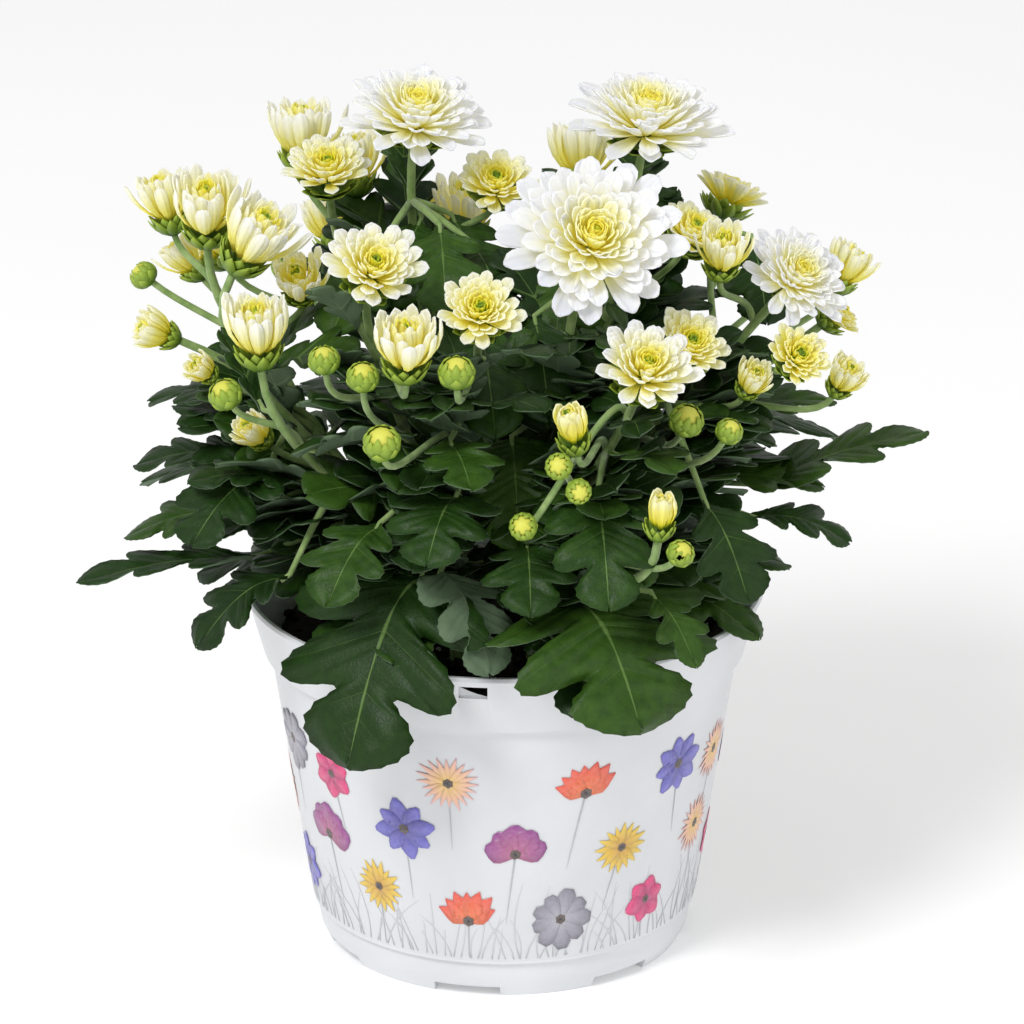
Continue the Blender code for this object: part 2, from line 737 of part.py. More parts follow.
def build_bloom(name, head, parts, finish):
    kind, place, width = head[:3]
    count = PETALS_ROUND[kind]
    stagger = 0.5 if len(PETAL_RINGS[kind]) > 1 else 0.0
    bm = bmesh.new()
    rows = []
    for order, (radius, height) in enumerate(CORE_RINGS[kind]):
        turns = [(index + stagger * order) * 360.0 / count for index in range(count)]
        rows.append([bm.verts.new(compass(turn) * radius * width + UP * (height * width + GAP)) for turn in turns])
    bm.faces.new(rows[0][::-1])
    bm.faces.new(rows[-1])
    bands = []
    for row, after in zip(rows, rows[1:]):
        bands.append([
            bm.faces.new((row[i], row[(i + 1) % count], after[(i + 1) % count], after[i])) for i in range(count)
        ])
    for band, (length, root, tip, breadth) in zip(bands, PETAL_RINGS[kind]):
        for face in band:
            raise_petal(bm, face, length * width, (root, tip), breadth * math.pi / count)
    bmesh.ops.triangulate(bm, faces=bm.faces)
    bloom = add_object(name, mesh_from(bm, name), parts)
    seat, way = seat_of(head)
    turn = UP.rotation_difference(way).to_matrix().to_4x4()
    bloom.data.transform(Matrix.Translation(seat * MM) @ turn)
    bloom.data.materials.append(finish)
    return bloom


def clear_scene():
    for item in list(bpy.data.objects):
        bpy.data.objects.remove(item)


def main():
    clear_scene()
    parts = bpy.data.collections.new("pot_chrysanthemum")
    cutters = bpy.data.collections.new("cutters")
    for collection in (parts, cutters):
        bpy.context.scene.collection.children.link(collection)
    build_pot(parts, cutters)
    build_soil(parts, cutters, [planting_of(sector) for sector, shoots in STEMS.values()])
    green = material("leaf_green", (0.06, 0.17, 0.05), 0.5)
    finishes = {
        "open": material("white_petal", (0.92, 0.92, 0.88), 0.55),
        "half": material("cream_petal", (0.93, 0.90, 0.55), 0.55),
        "cup": material("pale_yellow_petal", (0.92, 0.91, 0.68), 0.55),
        "opening": material("yellow_petal", (0.88, 0.80, 0.25), 0.55),
    }
    counts = dict.fromkeys(finishes, 0)
    for name, (sector, shoots) in STEMS.items():
        build_stem(name, sector, shoots, parts, green)
        for head in (head for heads in shoots for head in heads):
            kind = head[0]
            if kind == "bud":
                continue
            counts[kind] += 1
            build_bloom(f"{kind}_bloom_{counts[kind]}", head, parts, finishes[kind])


main()
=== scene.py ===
import math
import random

import bmesh
import bpy
from mathutils import Matrix, Vector


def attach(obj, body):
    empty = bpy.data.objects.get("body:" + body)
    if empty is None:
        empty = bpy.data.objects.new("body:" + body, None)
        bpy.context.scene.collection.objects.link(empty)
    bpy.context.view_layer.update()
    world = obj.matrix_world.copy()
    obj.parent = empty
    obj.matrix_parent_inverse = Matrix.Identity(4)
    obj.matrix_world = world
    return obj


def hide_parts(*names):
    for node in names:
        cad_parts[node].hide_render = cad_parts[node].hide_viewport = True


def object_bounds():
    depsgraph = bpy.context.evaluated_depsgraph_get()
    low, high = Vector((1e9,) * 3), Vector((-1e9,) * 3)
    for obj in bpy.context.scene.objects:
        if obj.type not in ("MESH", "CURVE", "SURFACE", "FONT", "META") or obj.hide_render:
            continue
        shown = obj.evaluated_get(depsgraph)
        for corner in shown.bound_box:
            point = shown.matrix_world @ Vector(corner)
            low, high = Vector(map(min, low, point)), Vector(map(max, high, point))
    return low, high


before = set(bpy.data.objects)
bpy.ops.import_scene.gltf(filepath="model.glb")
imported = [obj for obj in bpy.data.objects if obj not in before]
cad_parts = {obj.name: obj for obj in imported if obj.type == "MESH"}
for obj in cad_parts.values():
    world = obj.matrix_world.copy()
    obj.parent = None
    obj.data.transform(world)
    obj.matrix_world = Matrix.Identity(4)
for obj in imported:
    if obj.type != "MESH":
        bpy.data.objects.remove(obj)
cad_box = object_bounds()

MM = 0.001
UP = Vector((0.0, 0.0, 1.0))


# The pot: a thin white pot of moulded polypropylene, with a deep collar, a step under it, a tapered wall and
# a low ring cut into seven feet. It comes out of the mould with round edges and a faint ripple on its skin.
RIM_RADIUS = 69.4
POT_HEIGHT = 100.0
COLLAR_RADIUS = 64.6
COLLAR_BOTTOM = 83.0
SHOULDER_RADIUS = 62.4
SHOULDER_HEIGHT = 80.5
BODY_FOOT_RADIUS = 51.6
BODY_FOOT_HEIGHT = 10.8
RING_RADIUS = 50.4
FOOT_RADIUS = 47.8
FOOT_INNER_RADIUS = 45.0
FLOOR_TOP = 10.0
FLOOR_UNDERSIDE = 8.0
WALL = 1.8
FEET = 7
FIRST_FOOT_TURN = -76.0
NOTCH_WIDTH = 17.8
NOTCH_HEIGHT = 3.0
DRAIN_RADIUS = 4.0
DRAIN_CIRCLE = 33.0
LABEL_SLOT = (7.5, 3.0, 3.6)
LABEL_SLOT_PLACE = (-8.0, -67.3, 95.5)
POT_STEPS = 180


class Wire:
    """A socket of a shader. Arithmetic on it adds Math nodes."""

    def __init__(self, paint, socket):
        self.paint = paint
        self.socket = socket

    def math(self, operation, *others):
        return self.paint.node("Math", dict(enumerate((self, *others))), operation=operation)

    def __add__(self, other):
        return self.math("ADD", other)

    def __sub__(self, other):
        return self.math("SUBTRACT", other)

    def __rsub__(self, other):
        return self.math("MULTIPLY", -1.0) + other

    def __mul__(self, other):
        return self.math("MULTIPLY", other)

    def __pow__(self, other):
        return self.math("POWER", other)

    __radd__ = __add__
    __rmul__ = __mul__


class Paint:
    """A procedural material on one Principled shader. Its constants stand on the shader's own sockets."""

    def __init__(self, name, constants):
        self.material = bpy.data.materials.new(name)
        self.material.use_nodes = True
        self.tree = self.material.node_tree
        self.shader = self.tree.nodes["Principled BSDF"]
        self.feed(self.shader, constants)

    def feed(self, node, values):
        for key, value in values.items():
            if isinstance(value, Wire):
                self.tree.links.new(value.socket, node.inputs[key])
            else:
                node.inputs[key].default_value = value

    def node(self, kind, values, output=0, stops=(), **settings):
        """Adds a node: its settings and its ramp's stops first, then the values or links of its sockets."""
        node = self.tree.nodes.new("ShaderNode" + kind)
        for key, value in settings.items():
            setattr(node, key, value)
        if stops:
            ramp = node.color_ramp
            ramp.elements[0].position, ramp.elements[1].position = stops[0][0], stops[-1][0]
            for place, colour in stops[1:-1]:
                ramp.elements.new(place)
            for element, (place, colour) in zip(ramp.elements, stops):
                element.color = (*colour, 1.0)
        self.feed(node, values)
        return Wire(self, node.outputs[output])

    def place(self):
        return self.node("TexCoord", {}, output="Object")

    def drawn(self, name, output="Fac"):
        """A value that the mesh carries at its points."""
        return self.node("Attribute", {}, output=output, attribute_name=name)

    def band(self, name, low, high):
        """A soft line along the places where a value that the mesh carries is highest."""
        limits = {"Value": self.drawn(name), "From Min": low, "From Max": high}
        return self.node("MapRange", limits, interpolation_type="SMOOTHSTEP")

    def noise(self, scale, detail=3.0, rough=0.5):
        values = {"Vector": self.place(), "Scale": scale, "Detail": detail, "Roughness": rough}
        return self.node("TexNoise", values)

    def ramp(self, value, stops):
        return self.node("ValToRGB", {"Fac": value}, stops=stops)

    def mix(self, share, low, high):
        return self.node("Mix", {0: share, 6: low, 7: high}, output=2, data_type="RGBA")

    def bump(self, height, depth, strength=1.0):
        bump = self.node("Bump", {"Height": height, "Distance": depth, "Strength": strength})
        self.feed(self.shader, {"Normal": bump})


def piece(name, bm, paints, slot, *nodes):
    """The bmesh, in millimetres, as a smooth piece on the object's body that stands for its CAD nodes.

    Its points are kept inside the CAD model's box.
    """
    bmesh.ops.scale(bm, vec=(MM, MM, MM), verts=bm.verts)
    for vert in bm.verts:
        vert.co = [min(max(place, low), high) for place, low, high in zip(vert.co, *cad_box)]
    mesh = bpy.data.meshes.new(name)
    bm.to_mesh(mesh)
    bm.free()
    mesh.polygons.foreach_set("use_smooth", [True] * len(mesh.polygons))
    made = bpy.data.objects.new(name, mesh)
    bpy.context.scene.collection.objects.link(made)
    for paint in paints:
        mesh.materials.append(paint.material)
    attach(made, "root")
    if nodes:
        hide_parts(*nodes)
    return made


def pot_radius(height):
    """The pot's outer radius at a height."""
    if height > COLLAR_BOTTOM:
        share = (height - COLLAR_BOTTOM) / (POT_HEIGHT - COLLAR_BOTTOM)
        return COLLAR_RADIUS + (RIM_RADIUS - COLLAR_RADIUS) * share
    share = (height - BODY_FOOT_HEIGHT) / (SHOULDER_HEIGHT - BODY_FOOT_HEIGHT)
    return BODY_FOOT_RADIUS + (SHOULDER_RADIUS - BODY_FOOT_RADIUS) * share


def compass(degrees):
    angle = math.radians(degrees)
    return Vector((math.cos(angle), math.sin(angle), 0.0))


def turned(bm, profile, steps):
    """Spins a profile of radii and heights round the pot's axis."""
    verts = [bm.verts.new((radius, 0.0, height)) for radius, height in profile]
    edges = [bm.edges.new(pair) for pair in zip(verts, verts[1:])]
    bmesh.ops.spin(
        bm, geom=verts + edges, cent=(0, 0, 0), axis=(0, 0, 1), angle=math.tau, steps=steps, use_merge=True
    )
    bmesh.ops.remove_doubles(bm, verts=bm.verts, dist=0.0001)
    bmesh.ops.recalc_face_normals(bm, faces=bm.faces)


bm = bmesh.new()
turned(bm, [
    (0.0, FLOOR_TOP),
    (BODY_FOOT_RADIUS - WALL, FLOOR_TOP),
    (SHOULDER_RADIUS - WALL, SHOULDER_HEIGHT),
    (COLLAR_RADIUS - WALL, COLLAR_BOTTOM + 0.6),
    (RIM_RADIUS - WALL, POT_HEIGHT - 0.8),
    (RIM_RADIUS - WALL * 0.72, POT_HEIGHT),
    (RIM_RADIUS - 0.3, POT_HEIGHT),
    (RIM_RADIUS + 0.1, POT_HEIGHT - 1.0),
    (RIM_RADIUS - 0.7, POT_HEIGHT - 2.2),
    (COLLAR_RADIUS, COLLAR_BOTTOM),
    (SHOULDER_RADIUS + 0.3, COLLAR_BOTTOM - 0.5),
    (SHOULDER_RADIUS, SHOULDER_HEIGHT),
    (BODY_FOOT_RADIUS + 0.2, BODY_FOOT_HEIGHT + 1.2),
    (BODY_FOOT_RADIUS - 0.1, BODY_FOOT_HEIGHT + 0.7),
    (BODY_FOOT_RADIUS, BODY_FOOT_HEIGHT),
    (RING_RADIUS, BODY_FOOT_HEIGHT - 0.6),
    (RING_RADIUS, BODY_FOOT_HEIGHT - 3.4),
    (RING_RADIUS - 0.6, 4.0),
    (FOOT_RADIUS + 0.5, 0.8),
    (FOOT_RADIUS, 0.0),
    (FOOT_INNER_RADIUS, 0.0),
    (FOOT_INNER_RADIUS, FLOOR_UNDERSIDE),
    (0.0, FLOOR_UNDERSIDE),
], POT_STEPS)
pot_paint = Paint("moulded_white_plastic", {"Coat Weight": 0.12, "Coat Roughness": 0.25, "IOR": 1.49})
cloud = pot_paint.noise(38.0)
pot_paint.feed(pot_paint.shader, {
    "Base Color": pot_paint.ramp(cloud, [(0.3, (0.65, 0.665, 0.69)), (0.7, (0.71, 0.72, 0.745))]),
    "Roughness": cloud * 0.16 + 0.26,
})
pot_paint.bump(pot_paint.noise(70.0, 4.0), 0.0012, 0.35)
pot = piece("moulded_pot", bm, [pot_paint], "pot", "pot")

bm = bmesh.new()
for foot in range(FEET):
    turn = math.radians(FIRST_FOOT_TURN + (foot + 0.5) * 360.0 / FEET)
    notch = Matrix.Rotation(turn, 4, "Z") @ Matrix.Translation((FOOT_RADIUS, 0.0, 0.0))
    notch_size = Matrix.Diagonal((14.0, NOTCH_WIDTH, 2.0 * NOTCH_HEIGHT, 1.0))
    bmesh.ops.create_cube(bm, size=1.0, matrix=notch @ notch_size)
    drain = Matrix.Rotation(turn, 4, "Z") @ Matrix.Translation((DRAIN_CIRCLE, 0.0, FLOOR_TOP))
    bmesh.ops.create_cone(
        bm, segments=24, radius1=DRAIN_RADIUS, radius2=DRAIN_RADIUS, depth=12.0, cap_ends=True, matrix=drain
    )
label_slot = Matrix.Translation(LABEL_SLOT_PLACE) @ Matrix.Diagonal((*LABEL_SLOT, 1.0))
bmesh.ops.create_cube(bm, size=1.0, matrix=label_slot)
bmesh.ops.scale(bm, vec=(MM, MM, MM), verts=bm.verts)
cut_mesh = bpy.data.meshes.new("pot_cuts")
bm.to_mesh(cut_mesh)
bm.free()
cuts = bpy.data.objects.new("pot_cuts", cut_mesh)
bpy.context.scene.collection.objects.link(cuts)
cutting = pot.modifiers.new("cuts", "BOOLEAN")
cutting.operation = "DIFFERENCE"
cutting.object = cuts
rounding = pot.modifiers.new("rounding", "BEVEL")
rounding.width = 0.5 * MM
rounding.segments = 2
rounding.limit_method = "ANGLE"
rounding.angle_limit = math.radians(24.0)
bpy.context.view_layer.update()
pot.data = bpy.data.meshes.new_from_object(pot.evaluated_get(bpy.context.evaluated_depsgraph_get()))
pot.modifiers.clear()
bpy.data.objects.remove(cuts)


# The print on the pot's wall: a film moulded into its outside, with scattered flowers in strong colours over
# pale grey grass. Each motif is made of flat strokes bent round the wall, and stands at most 0.3 mm proud of it.
INKS = {
    "poppy": ((0.80, 0.16, 0.02), (0.78, 0.05, 0.02)),
    "cornflower": ((0.05, 0.04, 0.30), (0.16, 0.14, 0.62)),
    "pink": ((0.40, 0.0, 0.12), (0.80, 0.01, 0.18)),
    "yellow": ((0.55, 0.26, 0.01), (0.85, 0.60, 0.02)),
    "purple": ((0.45, 0.10, 0.22), (0.26, 0.02, 0.24)),
    "grey": ((0.42, 0.41, 0.47), (0.20, 0.19, 0.24)),
    "blush": ((0.85, 0.55, 0.08), (0.85, 0.45, 0.48)),
    "stem": ((0.40, 0.42, 0.44), (0.52, 0.54, 0.56)),
    "grass": ((0.52, 0.54, 0.57), (0.68, 0.70, 0.73)),
    "eye": ((0.02, 0.015, 0.02), (0.10, 0.05, 0.02)),
}
FILM = 0.05
PRINT_RADIUS = 57.0
PRINT_REPEAT = 119.4
GRASS_BLADES = 200
GRASS_FOOT = 12.4


def wrap(point, lift):
    """A point of the flat drawing, in millimetres across and up the wall, on the pot."""
    radius = pot_radius(point.y)
    angle = math.degrees(point.x / PRINT_RADIUS) - 90.0
    return compass(angle) * (radius + lift) + UP * point.y


def dab(bm, ink, colours, start, turn, length, width, widths, lift, bend=0.0):
    """One brush stroke of the print: faces along a bent line, as wide as the list of widths says."""
    way = Vector((math.cos(turn), math.sin(turn), 0.0))
    aside = Vector((-way.y, way.x, 0.0))
    last = len(widths) - 1
    for vert in bmesh.ops.create_grid(bm, x_segments=2, y_segments=last, size=1.0)["verts"]:
        share = (vert.co.y + 1.0) / 2.0
        half = widths[round(share * last)] * width / 2.0
        flat = start + way * length * share + aside * (vert.co.x * half + bend * length * share * share)
        vert[ink] = Vector((*colours[0], 1.0)).lerp(Vector((*colours[1], 1.0)), share)
        vert.co = wrap(flat, lift)


ROUND_PETAL = (0.25, 0.62, 0.92, 1.0, 0.72, 0.22)
POINTED_PETAL = (0.30, 0.70, 1.0, 0.80, 0.42, 0.04)
FRILLED_PETAL = (0.20, 0.46, 0.70, 0.92, 1.0, 0.55)
BLADE = (1.0, 0.9, 0.8, 0.66, 0.46, 0.1)
# Each motif: its ink, its petals, their shape, breadth and spread in degrees, and its radius.
MOTIFS = [
    ("poppy", 7, POINTED_PETAL, 0.62, 130.0, 9.6),
    ("cornflower", 8, ROUND_PETAL, 0.58, 360.0, 8.8),
    ("yellow", 16, POINTED_PETAL, 0.34, 360.0, 7.8),
    ("purple", 5, ROUND_PETAL, 0.95, 150.0, 9.0),
    ("pink", 6, ROUND_PETAL, 0.80, 360.0, 7.2),
    ("grey", 9, FRILLED_PETAL, 0.55, 360.0, 9.0),
    ("blush", 20, POINTED_PETAL, 0.22, 360.0, 8.4),
]
# Where the motifs stand: how far round the wall from the front, how high, and which one.
LAYOUT = [
    (-50, 60, 4), (-37, 30, 2), (-27, 50, 1), (-14, 66, 6), (-10, 24, 0), (3, 45, 3), (16, 24, 5),
    (21, 62, 0), (33, 43, 2), (44, 24, 4), (50, 63, 1), (64, 40, 6),
]
bm = bmesh.new()
ink = bm.verts.layers.float_color.new("ink")
draw = random.Random(11)
for tuft in range(GRASS_BLADES):
    start = Vector((-179.0 + tuft * 1.79 + draw.uniform(-1.5, 1.5), GRASS_FOOT, 0.0))
    length = draw.uniform(7.0, 22.0)
    lean = math.radians(90.0 + draw.uniform(-24.0, 24.0))
    dab(bm, ink, INKS["grass"], start, lean, length, 0.34, BLADE, 0.09, draw.uniform(-0.5, 0.5))
for side in range(3):
    for across, height, kind in LAYOUT:
        name, petals, shape, breadth, spread, radius = MOTIFS[(kind + 2 * side) % len(MOTIFS)]
        middle = Vector((across + PRINT_REPEAT * side, height, 0.0))
        fan = spread < 360.0
        first = math.radians(90.0 - spread / 2.0 + draw.uniform(-14.0, 14.0))
        lean = math.radians(-90.0 + draw.uniform(-16.0, 16.0))
        dab(bm, ink, INKS["stem"], middle, lean, min(height - 13.0, radius * 2.4), 0.38, BLADE, 0.14)
        for petal in range(petals):
            step = spread / (petals - 1) if fan else spread / petals
            turn = first + math.radians(petal * step)
            reach = radius * draw.uniform(0.88, 1.06)
            dab(bm, ink, INKS[name], middle, turn, reach, reach * breadth, shape, 0.19 + 0.004 * (petal % 3))
        for dot in range(6):
            turn = first + math.radians(dot * 60.0)
            dab(bm, ink, INKS["eye"], middle, turn, radius * 0.17, radius * 0.16, ROUND_PETAL, 0.25)
bmesh.ops.solidify(bm, geom=bm.faces[:], thickness=FILM)
bmesh.ops.recalc_face_normals(bm, faces=bm.faces)
print_paint = Paint("printed_film", {"Coat Weight": 0.10, "Coat Roughness": 0.3})
speckle = print_paint.noise(900.0, 2.0)
print_paint.feed(print_paint.shader, {
    "Base Color": print_paint.mix(speckle * 0.2, print_paint.drawn("ink", "Color"), (0.80, 0.80, 0.82, 1.0)),
    "Roughness": speckle * 0.1 + 0.3,
})
piece("pot_print", bm, [print_paint], "pot")


# The potting soil: dark, damp peat that settles below the rim, loose and crumbly on top, with white grains of
# perlite in it. It is a lump that the pot shapes, with crumbs and grains strewn over its surface.
SOIL_LEVEL = 85.0
SOIL_CLEARANCE = 0.9
SOIL_EDGE = SHOULDER_RADIUS - WALL - SOIL_CLEARANCE
SOIL_BOTTOM = FLOOR_TOP + 0.35
CRUMBS = 520
soil_draw = random.Random(5)
bm = bmesh.new()
grain_layer = bm.verts.layers.float.new("grain")
rings = [(SOIL_EDGE * step / 24.0, SOIL_LEVEL) for step in range(25)]
turned(bm, rings + [
    (SOIL_EDGE, SHOULDER_HEIGHT - 0.6),
    (BODY_FOOT_RADIUS - WALL - SOIL_CLEARANCE, SOIL_BOTTOM),
    (0.0, SOIL_BOTTOM),
], 96)
for vert in bm.verts:
    if vert.co.z > SOIL_LEVEL - 1.0:
        swell = 0.8 * math.sin(vert.co.x * 0.21) * math.cos(vert.co.y * 0.17)
        vert.co.z += soil_draw.uniform(-0.8, 0.8) + swell
for crumb in range(CRUMBS):
    spot = compass(soil_draw.uniform(0.0, 360.0)) * SOIL_EDGE * math.sqrt(soil_draw.uniform(0.02, 0.97))
    white = crumb % 5 == 0
    size = soil_draw.uniform(0.6, 1.5) if white else soil_draw.uniform(0.8, 2.4)
    turn = Matrix.Rotation(soil_draw.uniform(0.0, 6.0), 4, (0.3, 0.5, 0.8))
    breadth, thickness = size * soil_draw.uniform(0.6, 1.0), size * soil_draw.uniform(0.5, 0.9)
    place = Matrix.Translation(spot + UP * (SOIL_LEVEL + soil_draw.uniform(0.2, 1.4)))
    lump = place @ turn @ Matrix.Diagonal((size, breadth, thickness, 1.0))
    for vert in bmesh.ops.create_icosphere(bm, subdivisions=1, radius=1.0, matrix=lump)["verts"]:
        vert[grain_layer] = 1.0 if white else 0.0
        vert.co += Vector([soil_draw.uniform(-0.16, 0.16) * size for axis in range(3)])
soil_paint = Paint("damp_peat", {"Specular IOR Level": 0.25})
peat = soil_paint.noise(420.0, 6.0, 0.7)
peat_colour = soil_paint.ramp(peat, [
    (0.3, (0.006, 0.005, 0.004)), (0.6, (0.03, 0.019, 0.011)), (0.8, (0.09, 0.05, 0.026)),
])
soil_paint.feed(soil_paint.shader, {
    "Base Color": soil_paint.mix(soil_paint.drawn("grain"), peat_colour, (0.62, 0.60, 0.55, 1.0)),
    "Roughness": peat * 0.2 + 0.76,
})
soil_paint.bump(peat, 0.0012)
piece("crumbly_soil", bm, [soil_paint], "soil", "soil")


# The leafy stems: one woody green stem from the soil for each side of the plant, which forks into shoots, and
# each shoot into flower stalks. Stalks are downy and light green, and leaves are lobed, toothed and veined.
#
# By stem: the part of the circle that it fills in degrees, and its shoots. A shoot is a list of heads: kind,
# middle, width, and the compass turn and slope of the way it faces.
STEMS = {
    "stem_left": (
        (-205.0, -143.0),
        [
            [
                ("cup", (-64, -40, 187), 19.0, -130, 8),
                ("bud", (-72, -41, 168), 8.6, -150, 30),
                ("cup", (-66, -22, 151), 11.0, -150, 45),
            ],
            [
                ("cup", (-64, -13, 203), 21.0, -20, 30),
                ("cup", (-54, -2, 186), 15.0, -100, 35),
            ],
            [
                ("cup", (-78, 1, 206), 20.0, -90, 12),
                ("cup", (-90, 19, 202), 16.5, 170, 14),
                ("cup", (-86, 28, 182), 13.0, 170, 42),
                ("bud", (-95, 6, 184), 7.2, 180, 50),
            ],
            [
                ("cup", (-93, 5, 169), 12.0, -170, 65),
                ("cup", (-80, -5, 162), 9.0, -150, 50),
            ],
        ],
    ),
    "stem_front_left": (
        (-143.0, -91.0),
        [
            [
                ("half", (-33, -36, 203), 27.0, -75, 40),
                ("cup", (-25, -66, 192), 18.5, -90, 14),
                ("bud", (-46, -56, 183), 8.0, -120, 10),
                ("bud", (-36, -63, 181), 8.2, -90, 20),
            ],
            [
                ("half", (-6, -54, 197), 23.0, -88, 42),
                ("bud", (-12, -68, 184), 9.2, -95, 10),
                ("bud", (-31, -76, 168), 9.4, -100, 25),
            ],
        ],
    ),
    "stem_front_right": (
        (-91.0, -48.0),
        [
            [
                ("open", (23, -32, 208), 49.0, -80, 48),
            ],
            [
                ("half", (37, -62, 185), 28.0, -75, 38),
                ("opening", (17, -76, 173), 11.0, -120, 20),
                ("bud", (14, -82, 164), 6.8, -100, 60),
                ("bud", (19, -84, 158), 6.4, -80, 80),
                ("bud", (5, -78, 146), 7.0, -100, 60),
            ],
            [
                ("opening", (40, -80, 151), 10.2, -70, 12),
                ("bud", (45, -84, 141), 7.0, -50, 40),
            ],
        ],
    ),
    "stem_right": (
        (-48.0, 14.0),
        [
            [
                ("half", (49, -27, 178), 22.0, -60, 40),
                ("bud", (47, -52, 165), 8.8, -60, 30),
                ("bud", (58, -52, 162), 7.0, -40, 30),
                ("cup", (65, -26, 167), 10.5, -40, 30),
            ],
            [
                ("open", (77, -2, 187), 32.0, -50, 42),
                ("half", (77, -32, 176), 18.0, -60, 48),
                ("cup", (90, -10, 162), 11.5, -30, 30),
                ("cup", (57, -12, 198), 15.0, -80, 16),
            ],
        ],
    ),
    "stem_back_right": (
        (14.0, 91.0),
        [
            [
                ("open", (38, 28, 221), 45.0, -60, 14),
                ("half", (51, 20, 193), 21.0, -40, 30),
                ("cup", (21, 55, 203), 19.0, 90, 20),
            ],
            [
                ("half", (90, 24, 168), 16.0, 0, 50),
                ("cup", (93, 44, 174), 14.0, 20, 30),
                ("half", (62, 62, 190), 22.0, 45, 30),
                ("bud", (80, 62, 170), 8.0, 40, 40),
            ],
            [
                ("half", (40, 76, 176), 24.0, 65, 42),
                ("cup", (12, 81, 180), 15.0, 85, 20),
                ("bud", (60, 81, 160), 7.0, 60, 50),
            ],
        ],
    ),
    "stem_back_left": (
        (91.0, 155.0),
        [
            [
                ("open", (-23, 22, 224), 41.0, -70, 18),
                ("half", (-2, 22, 206), 22.0, -85, 30),
                ("cup", (-10, 48, 190), 18.0, -90, 10),
                ("cup", (-40, 52, 202), 17.0, 110, 12),
            ],
            [
                ("half", (-47, 26, 209), 24.0, -95, 24),
                ("cup", (-54, 46, 212), 20.0, 120, 6),
                ("half", (-78, 50, 178), 18.0, 150, 36),
            ],
            [
                ("half", (-22, 76, 182), 24.0, 105, 38),
                ("cup", (-48, 76, 176), 16.0, 120, 26),
                ("bud", (-60, 80, 160), 7.6, 120, 50),
            ],
        ],
    ),
}
# The large leaves by stem: where the blade starts, where its tip is, its width, how far its midrib arches up,
# and how far the blade rolls.
LARGE_LEAVES = {
    "stem_left": [
        ((-56, -36, 116), (-81, -48, 100), 27, 6, 0),
        ((-64, -15, 113), (-113, -24, 109), 20, 3, 0),
        ((-66, -12, 124), (-101, -14, 118), 24, 4, 0),
        ((-62, -22, 140), (-82, -46, 128), 30, 5, 0),
        ((-66, 2, 134), (-99, 4, 131), 24, 4, 0),
        ((-62, 18, 146), (-96, 26, 141), 24, 4, 0),
        ((-66, 22, 122), (-98, 34, 114), 26, 5, 0),
    ],
    "stem_front_left": [
        ((-21, -48, 121), (-41, -82, 80), 58, 13, 0),
        ((-32, -50, 136), (-46, -74, 122), 26, 5, 0),
        ((-12, -52, 145), (-20, -80, 136), 30, 5, 0),
        ((-14, -48, 158), (-8, -76, 155), 22, 3, 0),
        ((-6, -20, 178), (-2, -46, 158), 26, 4, 0),
        ((-17, -54, 122), (-4, -75, 103), 30, 6, 166),
    ],
    "stem_front_right": [
        ((16, -50, 114), (36, -84, 91), 66, 12, 0),
        ((24, -56, 146), (27, -86, 126), 30, 6, 0),
        ((6, -54, 132), (7, -80, 122), 26, 5, 0),
        ((38, -58, 120), (50, -78, 107), 16, 4, 0),
        ((8, -14, 180), (12, -40, 160), 26, 4, 0),
        ((2, -24, 150), (4, -50, 128), 30, 5, 0),
    ],
    "stem_right": [
        ((66, -2, 128), (113, 4, 141), 28, 3, 0),
        ((64, -14, 124), (92, -18, 118), 24, 4, 0),
        ((52, -44, 140), (64, -62, 118), 26, 5, 0),
    ],
    "stem_back_right": [
        ((58, 40, 128), (92, 58, 118), 34, 6, 0),
        ((20, 56, 122), (30, 88, 108), 38, 8, 0),
        ((44, 52, 118), (70, 82, 104), 36, 8, 0),
        ((16, 6, 188), (13, -16, 168), 26, 4, 0),
        ((66, 32, 186), (70, 12, 168), 26, 4, 0),
        ((34, 44, 198), (44, 30, 182), 24, 4, 0),
    ],
    "stem_back_left": [
        ((-24, 56, 120), (-36, 88, 106), 38, 8, 0),
        ((-50, 44, 120), (-82, 68, 108), 36, 8, 0),
        ((-8, 14, 190), (1, -12, 176), 26, 4, 0),
        ((-17, 12, 196), (-15, -14, 180), 26, 4, 0),
        ((-22, 30, 192), (-30, 8, 174), 26, 4, 0),
        ((-32, 14, 190), (-46, -8, 172), 26, 4, 0),
        ((-14, 32, 192), (-4, 12, 174), 26, 4, 0),
    ],
}
